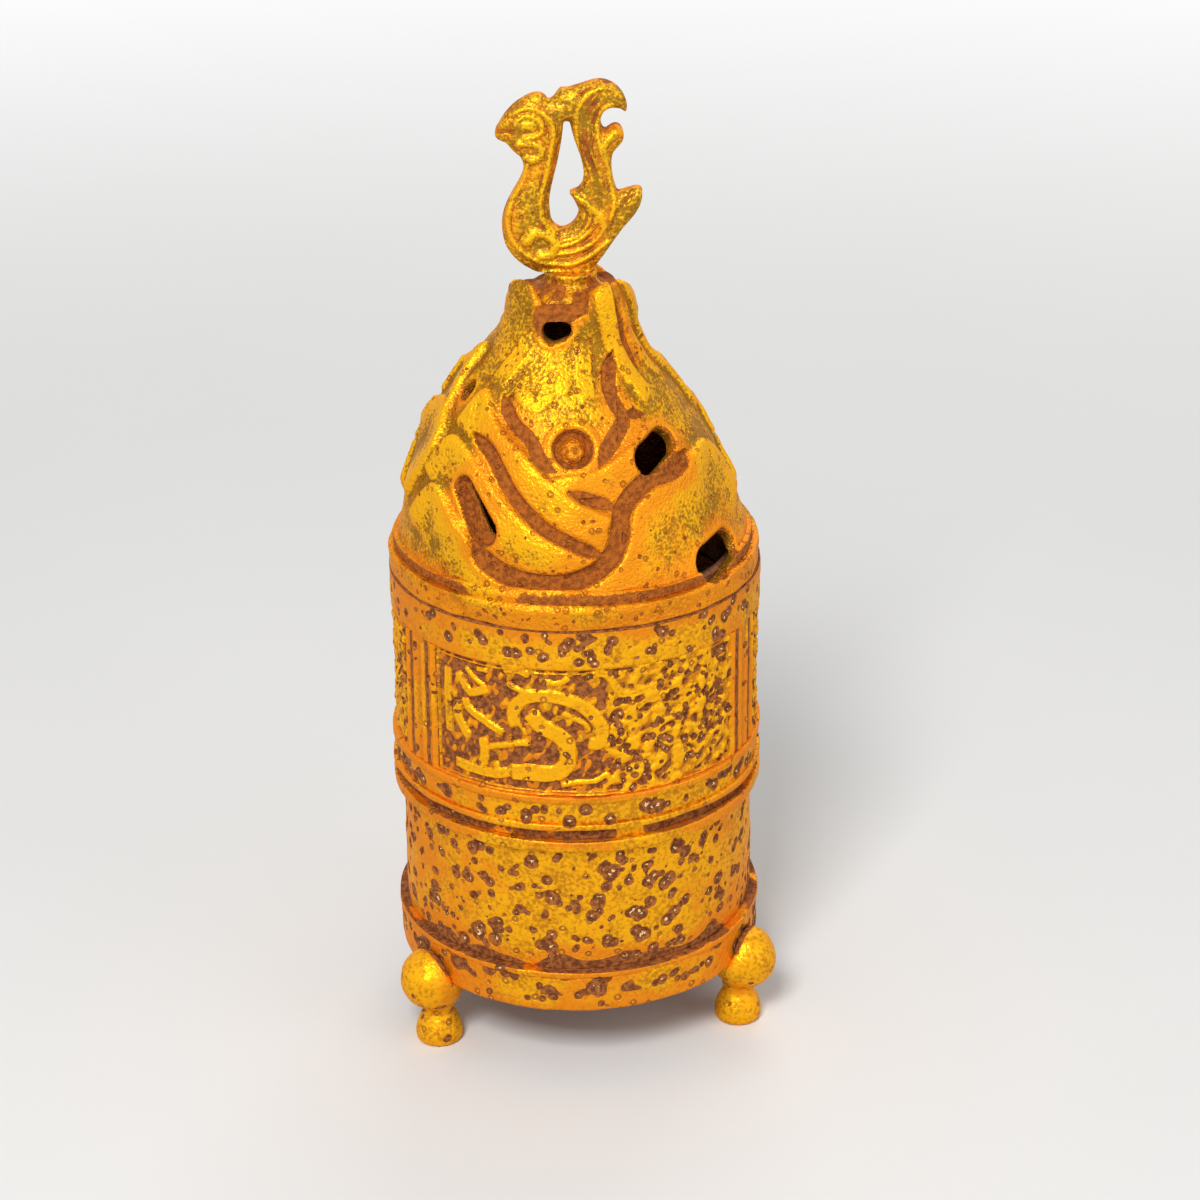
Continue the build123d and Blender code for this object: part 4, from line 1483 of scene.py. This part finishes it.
@dataclass
class Feet:
    """Three ball feet, softened from the frame's solids."""

    names: tuple[str, ...] = ("foot_left", "foot_right", "foot_back")
    voxel: float = 0.34

    def build(self) -> None:
        """Builds the feet."""
        finish = CUP_GILDING.material("foot_gilding")
        for seed, node in enumerate(self.names):
            piece = softened(f"{node}_gilt", node, self.voxel, 5)
            mesh = piece.data
            places = corners_of(mesh)
            outward = places - places.mean(0)
            outward /= np.linalg.norm(outward, axis=1)[:, None] + 1e-9
            uneven = 0.10 * waves(places, 5.0, 50 + seed) * smooth_step(places[:, 2], 0.3, 2.0)
            places += outward * uneven[:, None]
            mesh.vertices.foreach_set("co", (places * MM).ravel())
            out = np.hypot(places[:, 0], places[:, 1])
            # Painted shade: earth darkens the ball where it meets the flange.
            junction_shade = smooth_step(places[:, 2], 13.5, 16.0) * smooth_step(out, 33.5, 31.0)
            under = 1 - smooth_step(out, 25.5, 27.0)
            neck = 0.5 * np.exp(-(((places[:, 2] - 6.0) / 1.2) ** 2))
            earth = np.maximum(np.maximum(junction_shade, under), neck + 0.2 * waves(places, 6.0, 60 + seed))
            pit = waves(places, 4.0, 70 + seed) - 1.6
            halo = 0.35 * np.clip(earth, 0, 1)
            paint(mesh, earth=earth, pit=pit, burnish=np.full(len(places), 0.62), halo=halo)
            bpy.data.objects.remove(piece)
            belongs(show(f"{node}_gilt", mesh, finish), "cup", "gilt_body", node)


@dataclass
class Post:
    """Short post between the crown and the bird, riveted through the crown."""

    radius: float = 4.1
    tenon: float = 2.3
    neck_height: float = 2.8
    steps: int = 72

    def build(self) -> None:
        """Spins the post's outline and dresses the post."""
        foot = POST_TOP - self.neck_height
        tenon, radius = self.tenon, self.radius
        outline = [
            (0.0, POST_FOOT),
            (tenon + 0.9, POST_FOOT),
            (tenon + 0.6, POST_FOOT + 0.8),
            (tenon, POST_FOOT + 0.8),
            (tenon, foot - 1.3),
            (radius + 3.4, foot - 1.3),
            (radius + 1.9, foot),
            (radius + 0.8, foot + 0.6),
            (radius + 0.2, foot + 1.2),
            (radius + 0.1, foot + 1.9),
            (radius + 0.2, POST_TOP - 0.3),
            (radius, POST_TOP),
            (0.0, POST_TOP),
        ]
        bm = bmesh.new()
        verts = [bm.verts.new((out * MM, 0.0, height * MM)) for out, height in even(outline, 0.4)]
        edges = [bm.edges.new(pair) for pair in zip(verts, verts[1:])]
        bmesh.ops.spin(
            bm,
            geom=verts + edges,
            cent=(0, 0, 0),
            axis=(0, 0, 1),
            angle=math.tau,
            steps=self.steps,
            use_merge=True,
        )
        bmesh.ops.remove_doubles(bm, verts=bm.verts, dist=1e-3 * MM)
        bmesh.ops.recalc_face_normals(bm, faces=bm.faces)
        mesh = bpy.data.meshes.new("finial_post")
        bm.to_mesh(mesh)
        bm.free()
        places = corners_of(mesh)
        out = np.hypot(places[:, 0], places[:, 1])[:, None] + 1e-9
        push = 0.16 * waves(places, 3.5, 81) * smooth_step(places[:, 2], foot - 0.6, foot)
        places[:, :2] += places[:, :2] / out * push[:, None]
        mesh.vertices.foreach_set("co", (places * MM).ravel())
        clean = smooth_step(places[:, 2], foot + 0.6, POST_TOP)
        earth = np.clip(0.55 + 0.35 * waves(places, 3.0, 82) - 0.35 * clean, 0, 1)
        ones = np.ones(len(places))
        paint(mesh, earth=earth, pit=-ones, burnish=0.5 * ones, halo=0.5 * earth)
        piece = show("finial_post", mesh, BIRD_GILDING.material("post_gilding"))
        belongs(piece, "lid", "gilt_lid", "finial_stem")


@dataclass
class Bird:
    """Openwork bird, rounded from the frame's flat casting, with its lines drawn on both sides."""

    voxel: float = 0.22
    half: float = 2.3
    edge_half: float = 0.75
    roundness: float = 2.3
    line_height: float = 1.25

    def lines(self) -> list[tuple[float, float, list[Point]]]:
        """Draws the bird's lines.

        Returns:
            Width, height and points of each line, as X and height above the post.
        """
        return [
            (0.9, 0.32, [
                (-8.5, 24.0), (-7.7, 25.3), (-6.1, 25.7), (-4.6, 24.8), (-4.2, 23.4), (-5.2, 22.4),
                (-7.0, 22.1),
            ]),
            (2.2, 0.30, [(-6.9, 24.1), (-6.1, 24.1)]),
            (0.8, 0.25, [(-9.0, 25.9), (-6.9, 26.9), (-5.1, 26.6), (-3.5, 25.3)]),
            (0.5, -0.40, [(-11.0, 23.1), (-9.6, 23.0), (-8.7, 23.2)]),
            (1.1, 0.30, [
                (-8.0, 21.1), (-6.5, 21.3), (-4.7, 20.8), (-4.5, 19.2), (-5.7, 18.5), (-6.8, 18.9),
            ]),
            (0.9, 0.32, [
                (-4.0, 26.1), (-2.6, 24.2), (-2.5, 22.1), (-3.0, 19.4), (-3.5, 16.5), (-4.2, 13.8),
                (-4.7, 11.0), (-4.2, 8.6), (-2.2, 6.6),
            ]),
            (0.8, 0.28, [
                (-6.8, 17.6), (-7.6, 14.9), (-9.3, 11.9), (-10.0, 8.9), (-9.7, 6.2), (-8.1, 3.9),
                (-5.5, 2.0), (-2.3, 1.3), (0.9, 1.6), (3.5, 3.0), (6.2, 5.2),
            ]),
            (1.7, 0.38, [(-6.8, 5.3), (-5.7, 6.4), (-3.6, 6.2), (-2.4, 4.7), (-3.1, 3.1), (-4.7, 2.7)]),
            (0.7, 0.28, [(-3.1, 4.2), (-0.2, 4.7), (2.5, 6.3), (4.1, 8.5), (3.7, 10.7), (2.3, 11.8)]),
            (0.7, 0.28, [(-2.3, 3.1), (1.1, 3.6), (4.1, 5.5), (5.4, 7.9), (4.9, 10.1)]),
            (0.6, 0.25, [(-1.2, 5.3), (0.9, 5.9), (2.6, 7.7), (3.2, 9.6), (2.5, 11.0)]),
            (1.2, 0.32, [(0.1, 13.4), (1.2, 12.3), (2.8, 11.2), (4.4, 9.6), (5.3, 7.4)]),
            (1.3, -0.30, [
                (4.9, 10.4), (4.5, 13.1), (4.0, 16.4), (3.0, 19.1), (2.4, 22.3), (2.7, 25.5),
                (4.3, 28.1),
            ]),
            (0.8, 0.25, [
                (2.3, 15.9), (1.6, 18.6), (1.1, 21.8), (1.1, 25.0), (2.2, 28.2), (4.3, 29.7),
                (6.6, 30.0), (8.2, 28.4),
            ]),
            (0.8, 0.25, [
                (6.5, 8.8), (7.0, 11.8), (6.5, 15.3), (5.8, 18.5), (4.7, 21.2), (4.5, 23.9),
                (5.3, 26.3), (6.9, 27.3),
            ]),
            (1.2, 0.25, [(5.2, 19.6), (5.8, 21.5), (7.1, 22.8), (8.4, 22.8)]),
            (0.6, -0.35, [(6.0, 6.6), (7.2, 9.2), (8.6, 11.4), (9.9, 12.6)]),
        ]

    def build(self) -> None:
        """Rounds the casting, draws its lines and dresses it."""
        piece = softened("phoenix_skin", "phoenix", self.voxel, 1)
        mesh = piece.data
        places = corners_of(mesh)
        rim = places[(np.abs(places[:, 1]) < 1.2) & (places[:, 2] > POST_TOP - 0.2)]
        tree = KDTree(len(rim))
        for index, (x, _, z) in enumerate(rim):
            tree.insert((x, 0.0, z), index)
        tree.balance()
        from_edge = np.array([tree.find((x, 0.0, z))[2] for x, _, z in places])
        full = np.clip(from_edge / self.roundness, 0.0, 1.0)
        half = self.edge_half + (self.half - self.edge_half) * np.sqrt(1 - (1 - full) ** 2)
        side = np.clip(places[:, 1] / self.half, -1, 1)
        on_bird = smooth_step(places[:, 2], POST_TOP - 0.3, POST_TOP + 0.6)
        places[:, 1] = (1 - on_bird) * places[:, 1] + on_bird * side * half
        flat = places[:, [0, 2]] - np.array([0.0, POST_TOP])
        drawn, beside = np.zeros(len(places)), np.zeros(len(places))
        for width, height, points in self.lines():
            line = flowing(points, 0.6)
            near = np.all((flat > line.min(0) - 2 * width) & (flat < line.max(0) + 2 * width), axis=1)
            distance, _, _ = nearest_on(flat[near], line)
            shape = self.line_height * height * (1 - smooth_step(distance, 0.1 * width, 0.62 * width))
            kept = drawn[near]
            drawn[near] = np.where(np.abs(shape) > np.abs(kept), shape, kept)
            gutter = np.exp(-(((distance - 0.8 * width) / 0.3) ** 2))
            beside[near] = np.maximum(beside[near], gutter)
        beside *= np.abs(drawn) < 0.08
        drawn -= 0.16 * beside
        places[:, 1] += on_bird * drawn * smooth_step(np.abs(side), 0.4, 0.95) * np.sign(side)
        places += 0.05 * waves(places, 3.0, 91)[:, None] * np.array([0.5, 1.0, 0.5])
        mesh.vertices.foreach_set("co", (places * MM).ravel())
        smoothed(mesh, 1)
        # Painted shade, as earth, and painted warm sheen on the edges, where the faces turn sideways.
        facing = smooth_step(np.abs(side), 0.5, 0.98)
        hollow = 0.42 * beside + np.where(drawn < -0.2, 0.45, 0.0) + 0.42 * (1 - facing)
        earth = hollow + 0.16 * waves(places, 4.0, 92) - 0.5 * np.clip(drawn, 0, 1)
        # Painted highlight on the raised lines, painted shade in the sunk ones.
        relief_shade = np.clip(0.42 + 0.9 * drawn, 0, 1)
        halo = 0.42 * (1 - facing) + 0.16 * beside
        none = np.full(len(places), -1.0)
        paint(mesh, earth=np.clip(earth, 0, 1), pit=none, burnish=relief_shade, halo=halo)
        bpy.data.objects.remove(piece)
        finished = show("phoenix_bird", mesh, BIRD_GILDING.material("bird_gilding"), 80.0)
        belongs(finished, "lid", "gilt_lid", "phoenix")


@dataclass
class Innards:
    """Pieces that keep the frame's own shape: floor, lip, rivets and washer."""

    names: tuple[str, ...] = (
        "cup_floor",
        "collar",
        "rivet_left",
        "rivet_right",
        "rivet_back",
        "stem_washer",
    )

    def dress(self) -> None:
        """Gives each piece the casting skin."""
        finish = DARK_BRONZE.material("casting_skin")
        for name in self.names:
            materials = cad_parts[name].data.materials
            materials.clear()
            materials.append(finish)
            log.info("%s: dressed", name)


@dataclass
class Studio:
    """Pale floor, soft lamps and the camera."""

    floor_half: float = 1.0
    floor_colour: Colour = (0.80, 0.80, 0.79)
    floor_fade: Point = (900.0, 220.0)
    sky: float = 0.42
    distance: float = 506.4
    pitch: float = 24.43
    roll: float = -0.50
    aim: tuple[float, float, float] = (4.2, 0.0, 74.7)
    lens: float = 90.0
    sensor: float = 36.0
    clip: Point = (0.01, 20.0)
    lamps: tuple[tuple[str, Colour, float, float], ...] = (
        ("key", (-0.20, -0.72, 0.80), 0.30, 8.0),
        ("fill", (0.75, -0.40, 0.35), 0.50, 1.0),
        ("back", (0.15, 0.70, 0.70), 0.50, 1.8),
    )

    def lay_floor(self) -> None:
        """Lays the floor that the feet stand on, which fades out far from them."""
        g = Graph(bpy.data.materials.new("studio_floor"))
        place = g.place()
        shade = tuple(0.97 * part for part in self.floor_colour)
        colour = g.mix(g.noise(place, 60.0, 2.0), shade, self.floor_colour)
        length = g.node("ShaderNodeVectorMath", {"operation": "LENGTH"}, {0: place})
        solid = Sock(g, length.outputs["Value"]).step(*self.floor_fade)
        material = g.surface(Base_Color=colour, Roughness=0.85, Specular_IOR_Level=0.1, Alpha=solid)
        bm = bmesh.new()
        bmesh.ops.create_grid(bm, x_segments=1, y_segments=1, size=self.floor_half)
        mesh = bpy.data.meshes.new("floor")
        bm.to_mesh(mesh)
        bm.free()
        mesh.materials.append(material)
        floor = bpy.data.objects.new("floor", mesh)
        bpy.context.scene.collection.objects.link(floor)

    def hang_lamp(self, name: str, place: Colour, size: float, power: float) -> None:
        """Hangs a soft lamp that points at the censer's middle.

        Args:
            name: Its name.
            place: Its place in metres.
            size: Its side in metres.
            power: Its power in watts.
        """
        light = bpy.data.lights.new(name, "AREA")
        light.size = size
        light.energy = power
        lamp = bpy.data.objects.new(name, light)
        bpy.context.scene.collection.objects.link(lamp)
        middle = Vector((0.0, 0.0, self.aim[2] * MM))
        turned = (Vector(place) - middle).to_track_quat("Z", "Y").to_matrix().to_4x4()
        lamp.matrix_world = Matrix.Translation(Vector(place)) @ turned

    def paint_sky(self) -> None:
        """White where it is seen or mirrored, and dimmer as a light."""
        world = bpy.data.worlds.new("studio")
        bpy.context.scene.world = world
        g = Graph(world)
        path = g.node("ShaderNodeLightPath")
        camera, glossy, clear = (
            Sock(g, path.outputs[f"Is {kind} Ray"]) for kind in ("Camera", "Glossy", "Transmission")
        )
        white = (1.0, 1.0, 1.0, 1.0)
        light = g.output("ShaderNodeBackground", Color=white, Strength=self.sky)
        seen = g.output("ShaderNodeBackground", Color=white, Strength=1.0)
        parts = {0: camera.larger(glossy).larger(clear), 1: light, 2: seen}
        mixed = Sock(g, g.node("ShaderNodeMixShader", None, parts).outputs[0])
        g.node("ShaderNodeOutputWorld", None, {0: mixed})

    def set_camera(self) -> None:
        """Sets the camera at the photograph's viewing angle."""
        tilt, roll = math.radians(self.pitch), math.radians(self.roll)
        forward = Vector((0.0, math.cos(tilt), -math.sin(tilt)))
        up = Vector((0.0, math.sin(tilt), math.cos(tilt)))
        right = Vector((1.0, 0.0, 0.0))
        sideways = math.cos(roll) * right + math.sin(roll) * up
        upward = math.cos(roll) * up - math.sin(roll) * right
        place = (Vector(self.aim) - self.distance * forward) * MM
        data = bpy.data.cameras.new("camera")
        data.lens, data.sensor_width = self.lens, self.sensor
        data.clip_start, data.clip_end = self.clip
        camera = bpy.data.objects.new("camera", data)
        bpy.context.scene.collection.objects.link(camera)
        turned = Matrix((sideways, upward, -forward)).transposed().to_4x4()
        camera.matrix_world = Matrix.Translation(place) @ turned
        bpy.context.scene.camera = camera

    def build(self) -> None:
        """Sets up the studio."""
        bpy.context.scene.view_settings.view_transform = "Standard"
        self.lay_floor()
        self.paint_sky()
        for lamp in self.lamps:
            self.hang_lamp(*lamp)
        self.set_camera()


def main() -> None:
    """Builds the censer piece by piece."""
    logging.basicConfig(level=logging.INFO, format="%(message)s")
    Studio().build()
    CupWall().build()
    Feet().build()
    Lid().build()
    Post().build()
    Bird().build()
    Innards().dress()


if __name__ == "__main__":
    main()
